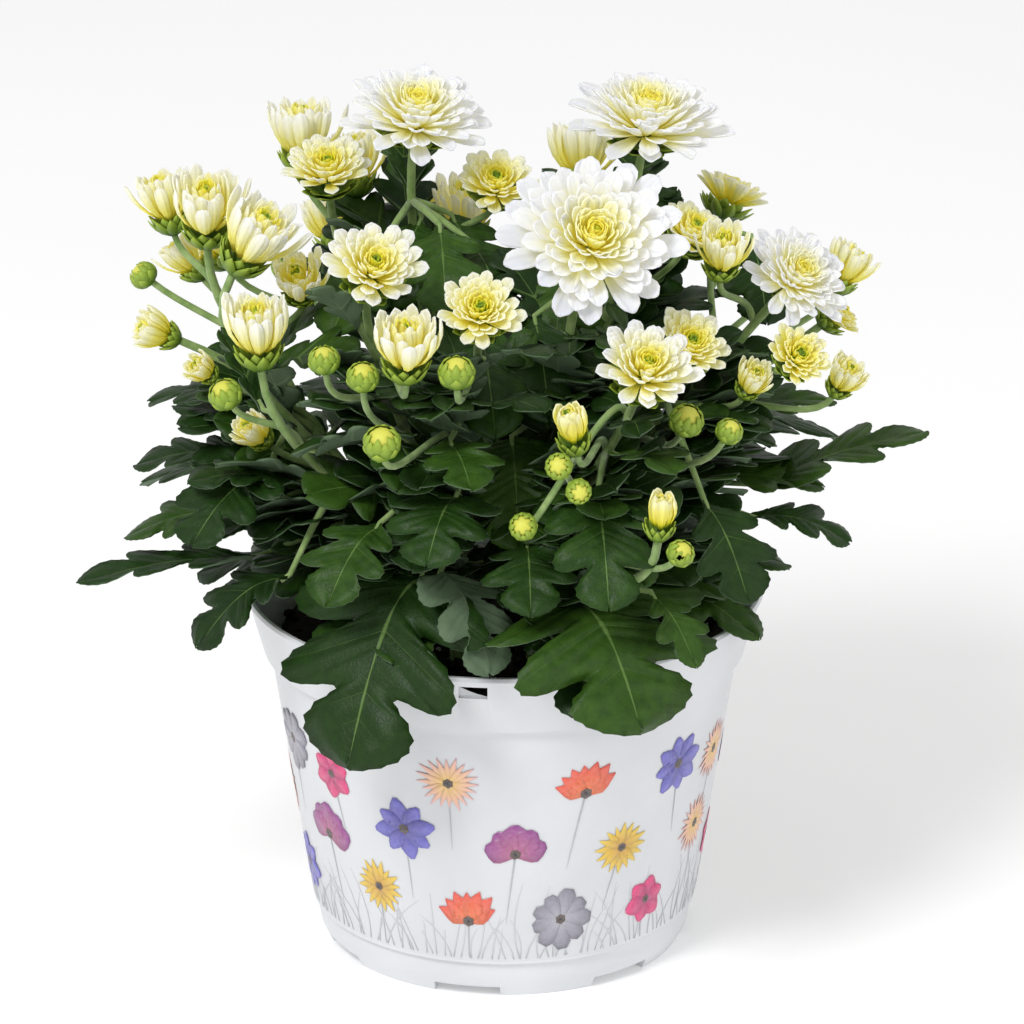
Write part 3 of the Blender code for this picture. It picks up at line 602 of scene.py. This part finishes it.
# A leaf's half outline in rows from its base to its tip: how far along the midrib the edge lies, how far out
# in half widths, where on the midrib the row starts, and how plain a vein runs along it.
BROAD_LEAF = [
    (0.0, 0.04, 0.0, 0.0), (0.015, 0.10, 0.0, 0.0), (0.04, 0.28, 0.01, 0.0), (0.08, 0.48, 0.02, 0.0),
    (0.14, 0.68, 0.03, 0.95), (0.215, 0.85, 0.045, 0.0), (0.29, 0.97, 0.06, 0.0), (0.355, 1.0, 0.08, 1.0),
    (0.40, 0.93, 0.105, 0.0), (0.42, 0.80, 0.135, 0.94), (0.415, 0.64, 0.17, 0.0), (0.40, 0.48, 0.21, 0.0),
    (0.39, 0.36, 0.25, 0.0), (0.42, 0.40, 0.28, 0.0), (0.465, 0.56, 0.315, 0.0), (0.52, 0.74, 0.35, 0.94),
    (0.585, 0.86, 0.385, 0.0), (0.65, 0.92, 0.41, 1.0), (0.70, 0.88, 0.44, 0.0), (0.72, 0.76, 0.475, 0.94),
    (0.715, 0.60, 0.51, 0.0), (0.70, 0.44, 0.55, 0.0), (0.695, 0.32, 0.59, 0.0), (0.725, 0.34, 0.62, 0.0),
    (0.775, 0.47, 0.65, 0.0), (0.835, 0.56, 0.69, 0.97), (0.885, 0.55, 0.74, 0.0), (0.93, 0.47, 0.80, 0.95),
    (0.965, 0.33, 0.86, 0.0), (0.99, 0.16, 0.92, 0.0), (1.0, 0.03, 0.97, 0.0),
]
NARROW_LEAF = [
    (0.0, 0.04, 0.0, 0.0), (0.05, 0.12, 0.01, 0.0), (0.13, 0.24, 0.04, 0.0), (0.20, 0.44, 0.06, 0.0),
    (0.27, 0.66, 0.08, 0.0), (0.35, 0.80, 0.11, 1.0), (0.395, 0.76, 0.15, 0.0), (0.41, 0.62, 0.19, 0.94),
    (0.40, 0.46, 0.24, 0.0), (0.40, 0.36, 0.28, 0.0), (0.435, 0.42, 0.31, 0.0), (0.49, 0.60, 0.34, 0.0),
    (0.56, 0.84, 0.37, 0.94), (0.63, 0.98, 0.40, 1.0), (0.685, 0.94, 0.45, 0.0), (0.705, 0.78, 0.50, 0.94),
    (0.70, 0.58, 0.55, 0.0), (0.69, 0.44, 0.60, 0.0), (0.73, 0.46, 0.63, 0.0), (0.79, 0.58, 0.66, 0.0),
    (0.85, 0.60, 0.70, 0.97), (0.90, 0.52, 0.76, 0.0), (0.945, 0.38, 0.83, 0.0), (0.98, 0.20, 0.90, 0.0),
    (1.0, 0.03, 0.97, 0.0),
]
TOOTH = 0.032
LEAF_TIERS = 7
FILLING = 66
LEAF_SKIN = 0.35
BRACT_SKIN = 0.25
PLANTING_RADIUS = 25.0
SHOOT_FOOT = 92.0
MIDDLE_HEIGHT = {"open": 0.12, "half": 0.28, "cup": 0.44, "opening": 0.50, "bud": 0.45}
BRACTS = {"open": (0.17, 0.10), "half": (0.24, 0.20), "cup": (0.28, 0.26), "opening": (0.34, 0.40)}


def finer(rows):
    """The same outline with a notch between each two points, cut into a smooth curve through them."""
    ends = [rows[0], *rows, rows[-1]]
    made = []
    for before, low, high, after in zip(ends, ends[1:], ends[2:], ends[3:]):
        between = [(9.0 * (b + c) - a - d) / 16.0 for a, b, c, d in zip(before, low, high, after)]
        along, out, start = between[:3]
        made += [low, (along, out - TOOTH, start, (low[3] + high[3]) * 0.22)]
    return [*made, rows[-1]]


def heads_of(shoots):
    return [head for heads in shoots for head in heads]


def curve_point(ends, pulls, t):
    a, d = ends
    b, c = pulls
    s = 1.0 - t
    return a * s**3 + b * (3 * s * s * t) + c * (3 * s * t * t) + d * t**3


def seat_of(head):
    """Where a head sits on its stalk, and the way it faces."""
    kind, place, width, turn, slope = head
    angle = math.radians(slope)
    way = (compass(turn) * math.sin(angle) + UP * math.cos(angle)).normalized()
    return Vector(place) - way * (width * MIDDLE_HEIGHT[kind]), way


def stalk_course(start, head, count):
    """The line of a stalk: upwards out of its shoot, and into the head along the head's own axis."""
    seat, way = seat_of(head)
    under = 0.0 if head[0] == "bud" else BRACTS[head[0]][1] * head[2]
    foot = seat - way * under
    reach = (foot - start).length
    pulls = (start + UP * reach * 0.30 + (foot - start) * 0.12, foot - way * reach * 0.32)
    points = [curve_point((start, foot), pulls, i / (count - 1)) for i in range(count)]
    fine = [curve_point((start, foot), pulls, i / 14.0) for i in range(15)]
    return points, fine + [foot + way * (under * 0.5 + 0.3)]


def add_spline(curve, points, first, last):
    spline = curve.splines.new("POLY")
    spline.points.add(len(points) - 1)
    for index, (spot, point) in enumerate(zip(spline.points, points)):
        spot.co = (*point, 1.0)
        spot.radius = first + (last - first) * index / (len(points) - 1)


def off_pot(point, clearance):
    """Bends a point clear of the pot: above its rim inside it, and outside its wall below the rim."""
    reach = math.hypot(point.x, point.y)
    if point.z > POT_HEIGHT + clearance:
        return point
    if reach < RIM_RADIUS - 1.0:
        return Vector((point.x, point.y, POT_HEIGHT + clearance))
    wanted = pot_radius(min(point.z, POT_HEIGHT)) + clearance
    if reach < wanted:
        return Vector((point.x * wanted / reach, point.y * wanted / reach, point.z))
    return point


def nearest(points, place):
    return min(points, key=lambda point: (point - place).length)


def clear_of_heads(points):
    """Whether every point keeps away from all the blooms and buds, and from in front of their faces."""
    for head in [head for sector, shoots in STEMS.values() for head in heads_of(shoots)]:
        middle = Vector(head[1])
        face = middle + seat_of(head)[1] * head[2] * 0.5
        clearance = head[2] * 0.5 + 5.0
        if any((middle - point).length < clearance or (face - point).length < clearance for point in points):
            return False
    return True


def add_leaf(bm, layers, joints, leaf, rows, curve, draw, clearance):
    """One leaf on its stalk: a lobed, toothed sheet whose rows of points follow its side veins."""
    base, tip, width, arch, roll = leaf
    base, tip = Vector(base), Vector(tip)
    ahead = (tip - base).normalized()
    joint = nearest(joints, base - ahead * 12.0)
    stalk = [joint - ahead * 0.6, (joint + base) / 2 + UP * 0.6, base, base + ahead * 3.0]
    add_spline(curve, stalk, 1.1, 0.55)
    crest = (base + tip) / 2 + UP * arch * 2
    half = width / 2
    phase = draw.uniform(0.0, 6.3)
    tone = draw.uniform(0.0, 1.0)
    curl = draw.uniform(-0.02, 0.10)
    last = len(rows) - 1

    def along_midrib(travel):
        """The midrib's point at a share of its length, with the ways to its side and over it."""
        first, final = (crest - base).length, (tip - crest).length
        share = travel * (first + final) / (first + math.sqrt(first**2 + (final**2 - first**2) * travel))
        s = 1.0 - share
        place = base * s * s + crest * (2 * s * share) + tip * share * share
        ahead = ((crest - base) * s + (tip - crest) * share).normalized()
        side = Matrix.Rotation(math.radians(roll), 3, ahead) @ ahead.cross(UP).normalized()
        return place, side, side.cross(ahead)

    for vert in bmesh.ops.create_grid(bm, x_segments=6, y_segments=last, size=1.0)["verts"]:
        along, out, start, vein = rows[round((vert.co.y + 1.0) / 2.0 * last)]
        across = math.copysign(abs(vert.co.x) ** 1.2, vert.co.x)
        share = abs(across)
        place, side, over = along_midrib(along)
        rib, rib_over = along_midrib(start)[::2]
        edge = place + side * across / max(share, 0.001) * half * out
        point = (rib - rib_over * 1.2).lerp(edge, share)
        puffed = (1.0 - vein) * math.sin(math.pi * min(share * 1.15, 1.0)) * 0.035
        ripple = math.sin(along * 13.0 + phase + 2.0 * across) * 0.05 * share
        point += over * half * (puffed + ripple - curl * share * share)
        vert.co = off_pot(point, clearance)
        vert[layers["vein"]] = vein * (1.0 - 0.07 * share)
        vert[layers["rib"]] = 1.0 - share
        vert[layers["tone"]] = tone


def blade(bm, layers, root, out, up, length, width, slopes, hollow, heart, shape, columns=2):
    """A petal or bract: a hollowed strip that leaves its root at one slope and ends at another."""
    side = up.cross(out)
    last = len(shape) - 1
    spine = [(root, slopes[0])]
    marks = [along for along, breadth in shape]
    for low, high in zip(marks, marks[1:]):
        slope = slopes[0] + (slopes[1] - slopes[0]) * (low + high) / 2
        angle = math.radians(slope)
        step = (out * math.cos(angle) + up * math.sin(angle)) * length * (high - low)
        spine.append((spine[-1][0] + step, slope))
    for vert in bmesh.ops.create_grid(bm, x_segments=columns, y_segments=last, size=1.0)["verts"]:
        row = round((vert.co.y + 1.0) / 2.0 * last)
        across = vert.co.x
        place, slope = spine[row]
        angle = math.radians(slope)
        over = up * math.cos(angle) - out * math.sin(angle)
        ahead = out * math.cos(angle) + up * math.sin(angle)
        half = shape[row][1] * width / 2.0
        round_tip = (1.0 - across * across) * 0.035 * length if row == last else 0.0
        vert.co = place + side * across * half + over * across * across * half * hollow + ahead * round_tip
        vert[layers["along"]] = shape[row][0]
        vert[layers["heart"]] = heart
        vert[layers["across"]] = across


# Half outlines of petals and bracts: how far along, and how wide there.
PETAL = [(0.0, 0.38), (0.25, 0.58), (0.50, 0.84), (0.72, 1.0), (0.87, 0.98), (0.96, 0.78), (1.0, 0.46)]
BRACT = [(0.0, 0.80), (0.3, 1.0), (0.6, 0.90), (0.85, 0.52), (1.0, 0.12)]
BUD_BRACT = [(0.0, 0.55), (0.22, 0.92), (0.46, 1.0), (0.70, 0.84), (0.88, 0.50), (1.0, 0.14)]


def upright(way):
    """The turn that sets a thing built on +Z to face another way."""
    return UP.rotation_difference(way).to_matrix()


def add_bracts(bm, layers, head, draw):
    """The cup of green bracts under a bloom, or those that close round a bud."""
    kind, width = head[0], head[2]
    seat, way = seat_of(head)
    turn = upright(way)
    spin = draw.uniform(0.0, 360.0)
    if kind == "bud":
        for ring, (count, length, end) in enumerate([(6, 1.16, 152.0), (6, 1.02, 138.0), (6, 0.70, 100.0)]):
            for index in range(count):
                out = turn @ compass(spin + (index + 0.5 * ring) * 360.0 / count)
                root = seat + way * width * 0.02 + out * width * (0.11 + 0.02 * ring)
                blade(
                    bm, layers, root, out, way, length * width, width * 0.44, (4.0, end), 0.34, 0.1 * ring,
                    BUD_BRACT,
                )
        return
    radius, height = (size * width for size in BRACTS[kind])
    lean = {"open": 12.0, "half": 34.0, "cup": 52.0, "opening": 60.0}[kind]
    for ring, (count, rise, reach) in enumerate([(9, 0.0, 1.25), (9, 0.28, 1.15)]):
        for index in range(count):
            out = turn @ compass(spin + (index + 0.5 * ring) * 360.0 / count)
            root = seat - way * height * (1.0 - rise) + out * radius * 0.22
            length = math.hypot(radius, height) * reach
            slopes = (lean * 0.4, lean + 26.0)
            blade(bm, layers, root, out, way, length, radius * 0.80, slopes, 0.30, 0.1 * ring, BRACT)


def add_bud_core(bm, layers, head):
    """The pale young petals in a bud, still pressed into a ball."""
    seat, way = seat_of(head)
    width = head[2]
    middle = Matrix.Translation(seat + way * width * 0.46) @ upright(way).to_4x4()
    ball = middle @ Matrix.Diagonal((width * 0.43, width * 0.43, width * 0.44, 1.0))
    for vert in bmesh.ops.create_uvsphere(bm, u_segments=12, v_segments=8, radius=1.0, matrix=ball)["verts"]:
        vert[layers["heart"]] = 2.0


def tier_leaves(sector, joints, draw):
    """A stem's own leaves in tiers, by turns left and right, two of them steep and near the middle."""
    middle = (sector[0] + sector[1]) / 2
    spread = (sector[1] - sector[0]) / 2
    leaves = []
    for tier in range(LEAF_TIERS):
        share = tier / (LEAF_TIERS - 1)
        side = 1 if tier % 2 else -1
        out = compass(middle + side * spread * draw.uniform(0.30, 0.62))
        root = nearest(joints, out * 34.0 + UP * (107.0 + 7.5 * tier))
        length = 46.0 - 14.0 * share + draw.uniform(-3.0, 3.0)
        slope = math.radians(14.0 - 26.0 * share)
        breadth = draw.uniform(0.60, 0.70)
        if tier in (2, 4):
            out = (compass(middle) * 9.0 - Vector((root.x, root.y, 0.0))).normalized()
            length = 30.0
            slope = math.radians(-50.0)
        base = root + out * 8.0 + UP
        tip = base + out * length * math.cos(slope) - UP * length * math.sin(slope)
        leaves.append((base, tip, length * breadth, 3.5, 0.0))
    return leaves


def filling_leaves(sector, joints, crown, draw):
    """The shaded leaves inside the plant, which close the view between the stalks."""
    leaves = []
    for order in range(FILLING):
        share = (order + draw.random()) / FILLING
        for attempt in range(8):
            out = compass(draw.uniform(*sector))
            root = nearest(joints, out * draw.uniform(4.0, 46.0) + UP * (98.0 + (crown - 98.0) * share))
            if order % 4 == 0:
                out = compass(draw.uniform(0.0, 360.0))
            length = draw.uniform(28.0, 42.0) - 8.0 * share
            slope = math.radians(draw.uniform(-30.0, 14.0) - 30.0 * share)
            base = root + out * 4.0 + UP
            tip = base + out * length * math.cos(slope) - UP * length * math.sin(slope)
            inside = math.hypot(tip.x, tip.y) < 102.0 - 0.30 * (tip.z - POT_HEIGHT)
            if inside and clear_of_heads([base, (base + tip) / 2, tip]):
                leaves.append((base, tip, length * draw.uniform(0.52, 0.7), 3.0, draw.uniform(-30.0, 30.0)))
                break
    return leaves


stalk_paint = Paint("downy_stalk", {"Specular IOR Level": 0.3, "Sheen Weight": 0.25})
grain = stalk_paint.noise(260.0, 4.0)
stalk_paint.feed(stalk_paint.shader, {
    "Base Color": stalk_paint.ramp(grain, [(0.3, (0.16, 0.27, 0.07)), (0.7, (0.32, 0.44, 0.16))]),
    "Roughness": grain * 0.2 + 0.5,
})
stalk_paint.bump(stalk_paint.noise(1600.0, 2.0), 0.0002, 0.5)

leaf_paint = Paint("veined_leaf", {"Specular IOR Level": 0.22})
line = leaf_paint.band("vein", 0.90, 0.98).math("MAXIMUM", leaf_paint.band("rib", 0.968, 0.990))
fleck = leaf_paint.noise(300.0, 5.0, 0.6)
net = leaf_paint.node(
    "TexVoronoi", {"Vector": leaf_paint.place(), "Scale": 640.0}, output="Distance",
    feature="DISTANCE_TO_EDGE",
)
shade = leaf_paint.drawn("tone") * 0.45 + fleck * 0.55
face = leaf_paint.ramp(shade, [
    (0.15, (0.006, 0.021, 0.003)), (0.5, (0.015, 0.047, 0.005)), (0.85, (0.045, 0.105, 0.010)),
])
face = leaf_paint.mix(line * 0.6, face, (0.16, 0.27, 0.07, 1.0))
back = leaf_paint.mix(line * 0.6, (0.12, 0.18, 0.105, 1.0), (0.24, 0.32, 0.18, 1.0))
under = leaf_paint.drawn("under")
leaf_paint.feed(leaf_paint.shader, {
    "Base Color": leaf_paint.mix(under, face, back),
    "Roughness": fleck * 0.22 + under * 0.2 + 0.34,
})
relief = (net * 6.0).math("MINIMUM", 1.0) * 0.3 - line * 0.8 + fleck * 0.5
leaf_paint.bump(relief, 0.0004, 0.32)

bract_paint = Paint("green_bract", {"Specular IOR Level": 0.35})
inner = bract_paint.drawn("heart").math("GREATER_THAN", 1.0)
green = bract_paint.mix(
    bract_paint.drawn("along") ** 1.6,
    bract_paint.ramp(bract_paint.noise(350.0), [(0.3, (0.035, 0.10, 0.008)), (0.7, (0.08, 0.19, 0.016))]),
    (0.34, 0.46, 0.05, 1.0),
)
bract_paint.feed(bract_paint.shader, {
    "Base Color": bract_paint.mix(inner, green, (0.66, 0.66, 0.10, 1.0)), "Roughness": 0.5,
})

for name, (sector, shoots) in STEMS.items():
    planting = compass((sector[0] + sector[1]) / 2) * PLANTING_RADIUS
    curve = bpy.data.curves.new(name, "CURVE")
    curve.dimensions = "3D"
    curve.bevel_depth = 1.0
    curve.bevel_resolution = 3
    curve.use_fill_caps = True
    add_spline(curve, [planting + UP * z for z in (60.0, 78.0, 90.0, 97.0)], 3.1, 2.9)
    joints = []
    for order, heads in enumerate(shoots):
        start = planting + compass(order * 360.0 / len(shoots)) + UP * SHOOT_FOOT
        path, fine = stalk_course(start, heads[0], 7)
        add_spline(curve, fine, 1.7, 1.05)
        joints += path[1:-1]
        free = set(range(2, 6))
        for index, head in enumerate(heads[1:]):
            low = seat_of(head)[0].z - 14.0
            below = [joint for joint in free if path[joint].z < low]
            joint = max(below) if below else min(free)
            free.discard(joint)
            fine = stalk_course(path[joint] + UP * 0.6 * (index + 1), head, 3)[1]
            add_spline(curve, fine, 1.0, 0.85)

    bm = bmesh.new()
    layers = {key: bm.verts.layers.float.new(key) for key in ("vein", "rib", "tone", "under")}
    draw = random.Random(len(name) * 7 + int(sector[0]))
    for leaf in tier_leaves(sector, joints, draw):
        add_leaf(bm, layers, joints, leaf, finer(NARROW_LEAF), curve, draw, 1.4)
    for leaf in LARGE_LEAVES[name]:
        rows = finer(BROAD_LEAF if leaf[2] > 27.0 else NARROW_LEAF)
        add_leaf(bm, layers, joints, leaf, rows, curve, draw, 2.0)
    crown = max(head[1][2] for head in heads_of(shoots)) - 16.0
    for leaf in filling_leaves(sector, joints, crown, draw):
        add_leaf(bm, layers, joints, leaf, NARROW_LEAF, curve, draw, 1.4)
    bm.normal_update()
    skin = bmesh.ops.extrude_face_region(bm, geom=bm.faces[:])["geom"]
    for vert in [item for item in skin if isinstance(item, bmesh.types.BMVert)]:
        vert.co -= vert.normal * LEAF_SKIN
        vert[layers["under"]] = 1.0
    bmesh.ops.recalc_face_normals(bm, faces=bm.faces)
    piece(name + "_leaves", bm, [leaf_paint], "leaves", name)

    guide = bpy.data.objects.new(name + "_guide", curve)
    bpy.context.scene.collection.objects.link(guide)
    bpy.context.view_layer.update()
    mesh = bpy.data.meshes.new_from_object(guide.evaluated_get(bpy.context.evaluated_depsgraph_get()))
    bpy.data.objects.remove(guide)
    bm = bmesh.new()
    bm.from_mesh(mesh)
    bmesh.ops.remove_doubles(bm, verts=bm.verts, dist=0.0005)
    bmesh.ops.recalc_face_normals(bm, faces=bm.faces)
    piece(name + "_stalks", bm, [stalk_paint], "leaves", name)

    bm = bmesh.new()
    layers = {key: bm.verts.layers.float.new(key) for key in ("along", "heart", "across")}
    for head in heads_of(shoots):
        add_bracts(bm, layers, head, draw)
    bmesh.ops.solidify(bm, geom=bm.faces[:], thickness=BRACT_SKIN)
    for head in heads_of(shoots):
        if head[0] == "bud":
            add_bud_core(bm, layers, head)
    bmesh.ops.recalc_face_normals(bm, faces=bm.faces)
    piece(name + "_bracts", bm, [bract_paint], "leaves", name)


# The blooms: double heads of thin, hollowed petals in a spiral, the outer ones long and spread, the inner
# ones short and upright round a green eye. They open from yellow cups and turn white from their tips inwards.
#
# Each form: its number of petals, then pairs from the outermost petal to the innermost, in widths of the head
# and in degrees: how far from the axis a petal is rooted, how high, its length, its width, and its slope at
# root and tip. Then how hollow petals are, and how young they look: a full head's width, how much each
# millimetre under it adds, and the least.
FORMS = {
    "open": {
        "petals": 168, "root": (0.11, 0.02), "rise": (0.0, 0.12),
        "length": (0.41, 0.11), "width": (0.138, 0.05),
        "root_slope": (4.0, 82.0), "tip_slope": (10.0, 114.0), "hollow": 0.42, "young": (50.0, 0.0, 0.04),
    },
    "half": {
        "petals": 100, "root": (0.14, 0.03), "rise": (0.02, 0.15),
        "length": (0.44, 0.16), "width": (0.175, 0.055),
        "root_slope": (19.0, 84.0), "tip_slope": (31.0, 108.0), "hollow": 0.42, "young": (28.0, 0.030, 0.20),
    },
    "cup": {
        "petals": 64, "root": (0.17, 0.03), "rise": (0.02, 0.16),
        "length": (0.84, 0.52), "width": (0.225, 0.085),
        "root_slope": (28.0, 82.0), "tip_slope": (94.0, 99.0), "hollow": 0.45, "young": (21.0, 0.018, 0.24),
    },
    "opening": {
        "petals": 36, "root": (0.20, 0.05), "rise": (0.02, 0.20),
        "length": (1.0, 0.66), "width": (0.36, 0.15),
        "root_slope": (48.0, 86.0), "tip_slope": (116.0, 100.0), "hollow": 0.45, "young": (11.0, 0.0, 0.55),
    },
}
PETAL_SLOTS = {
    "open": "white_petals", "half": "cream_petals", "cup": "pale_yellow_petals", "opening": "yellow_petals",
}
PETAL_SKIN = 0.28
GOLDEN_ANGLE = 137.508


def petal_paint(name):
    """Petals are white, yellow at the root and towards the heart, most in young blooms, and green in the eye.

    A faint glow stands for the light that comes through from the petals behind.
    """
    paint = Paint(name, {
        "Specular IOR Level": 0.3, "Subsurface Weight": 0.6, "Subsurface Scale": 0.003,
        "Subsurface Radius": (1.0, 0.9, 0.5), "Emission Strength": 0.09,
    })
    root = 1.0 - paint.drawn("along")
    heart = paint.drawn("heart")
    young = paint.drawn("young")
    eye = heart ** 4.0 * (young * 1.3 + 0.5)
    warm = root ** 1.3 * (heart * 0.20 + young * 0.5 + 0.34) + heart ** 2.0 * 0.30 + young * 0.42 + eye
    colour = paint.ramp(warm + paint.noise(160.0) * 0.06 - 0.03, [
        (0.07, (0.87, 0.87, 0.86)), (0.21, (0.93, 0.90, 0.52)), (0.37, (0.94, 0.85, 0.17)),
        (0.64, (0.93, 0.77, 0.03)), (0.84, (0.50, 0.56, 0.02)), (1.0, (0.16, 0.28, 0.015)),
    ])
    paint.feed(paint.shader, {
        "Base Color": colour, "Emission Color": colour, "Roughness": paint.noise(500.0) * 0.15 + 0.42,
    })
    ribs = (paint.drawn("across") * 9.0).math("SINE")
    paint.bump(ribs * 0.5 + paint.noise(700.0, 2.0) * 0.6, 0.0003, 0.5)
    return paint


def blended(pair, share):
    return pair[0] + (pair[1] - pair[0]) * share


paints = {kind: petal_paint(kind + "_petals") for kind in FORMS}
counts = dict.fromkeys(FORMS, 0)
for name, (sector, shoots) in STEMS.items():
    for head in [head for head in heads_of(shoots) if head[0] != "bud"]:
        kind, width = head[0], head[2]
        counts[kind] += 1
        node = f"{kind}_bloom_{counts[kind]}"
        form = FORMS[kind]
        seat, way = seat_of(head)
        turn = upright(way)
        draw = random.Random(counts[kind] * 31 + len(kind))
        bm = bmesh.new()
        layers = {key: bm.verts.layers.float.new(key) for key in ("along", "heart", "across", "young")}
        for petal in range(form["petals"]):
            share = petal / (form["petals"] - 1)
            out = turn @ compass(petal * GOLDEN_ANGLE + draw.uniform(-9.0, 9.0))
            root = seat + out * width * blended(form["root"], share)
            root += way * (width * blended(form["rise"], share) + 0.35)
            length = width * blended(form["length"], share ** 0.85) * draw.uniform(0.88, 1.04)
            slopes = (
                blended(form["root_slope"], share ** 0.8) + draw.uniform(-7.0, 7.0),
                blended(form["tip_slope"], share ** 0.9) + draw.uniform(-12.0, 14.0),
            )
            columns = 4 if kind == "open" and share < 0.6 else 2
            blade(
                bm, layers, root, out, way, length, width * blended(form["width"], share ** 0.7), slopes,
                form["hollow"] + draw.uniform(-0.14, 0.12), share, PETAL, columns,
            )
        full, per_mm, least = form["young"]
        for vert in bm.verts:
            vert[layers["young"]] = least + per_mm * max(full - width, 0.0)
        bmesh.ops.solidify(bm, geom=bm.faces[:], thickness=PETAL_SKIN)
        bmesh.ops.recalc_face_normals(bm, faces=bm.faces)
        piece(node + "_petals", bm, [paints[kind]], PETAL_SLOTS[kind], node)


# The studio: a pale floor that runs out of sight, soft light from all round, a large soft lamp above and to
# the left, and a weaker one lower on the right.
floor_paint = Paint("pale_floor", {
    "Roughness": 0.6, "Specular IOR Level": 0.2,
    "Emission Color": (1.0, 1.0, 1.0, 1.0), "Emission Strength": 0.2,
})
haze = floor_paint.noise(2.0)
floor_paint.feed(floor_paint.shader, {
    "Base Color": floor_paint.ramp(haze, [(0.3, (0.90, 0.90, 0.90)), (0.7, (0.93, 0.93, 0.93))]),
})
bm = bmesh.new()
bmesh.ops.create_grid(bm, x_segments=1, y_segments=1, size=12.0)
floor_mesh = bpy.data.meshes.new("studio_floor")
bm.to_mesh(floor_mesh)
bm.free()
floor = bpy.data.objects.new("studio_floor", floor_mesh)
floor_mesh.materials.append(floor_paint.material)
bpy.context.scene.collection.objects.link(floor)

world = bpy.data.worlds.new("studio")
world.use_nodes = True
world.node_tree.nodes["Background"].inputs["Color"].default_value = (1.0, 1.0, 1.0, 1.0)
world.node_tree.nodes["Background"].inputs["Strength"].default_value = 0.62
bpy.context.scene.world = world


def add_lamp(name, place, aim, size, power):
    lamp = bpy.data.lights.new(name, "AREA")
    lamp.shape = "DISK"
    lamp.size = size
    lamp.energy = power
    holder = bpy.data.objects.new(name, lamp)
    holder.location = place
    holder.rotation_mode = "QUATERNION"
    holder.rotation_quaternion = (Vector(aim) - Vector(place)).to_track_quat("-Z", "Y")
    bpy.context.scene.collection.objects.link(holder)


add_lamp("key_lamp", (-0.7, -1.1, 1.5), (0.0, 0.0, 0.12), 0.6, 19.0)
add_lamp("fill_lamp", (1.2, -1.0, 0.7), (0.0, 0.0, 0.12), 1.0, 3.0)

lens = bpy.data.cameras.new("camera")
lens.sensor_width = 36.0
lens.lens = 264.2
camera = bpy.data.objects.new("camera", lens)
camera.location = (0.0021, -1.8608, 0.8523)
camera.rotation_mode = "QUATERNION"
camera.rotation_quaternion = (Vector((0.0021, 0.0, 0.1193)) - camera.location).to_track_quat("-Z", "Y")
bpy.context.scene.collection.objects.link(camera)
bpy.context.scene.camera = camera
bpy.context.scene.view_settings.view_transform = "Standard"
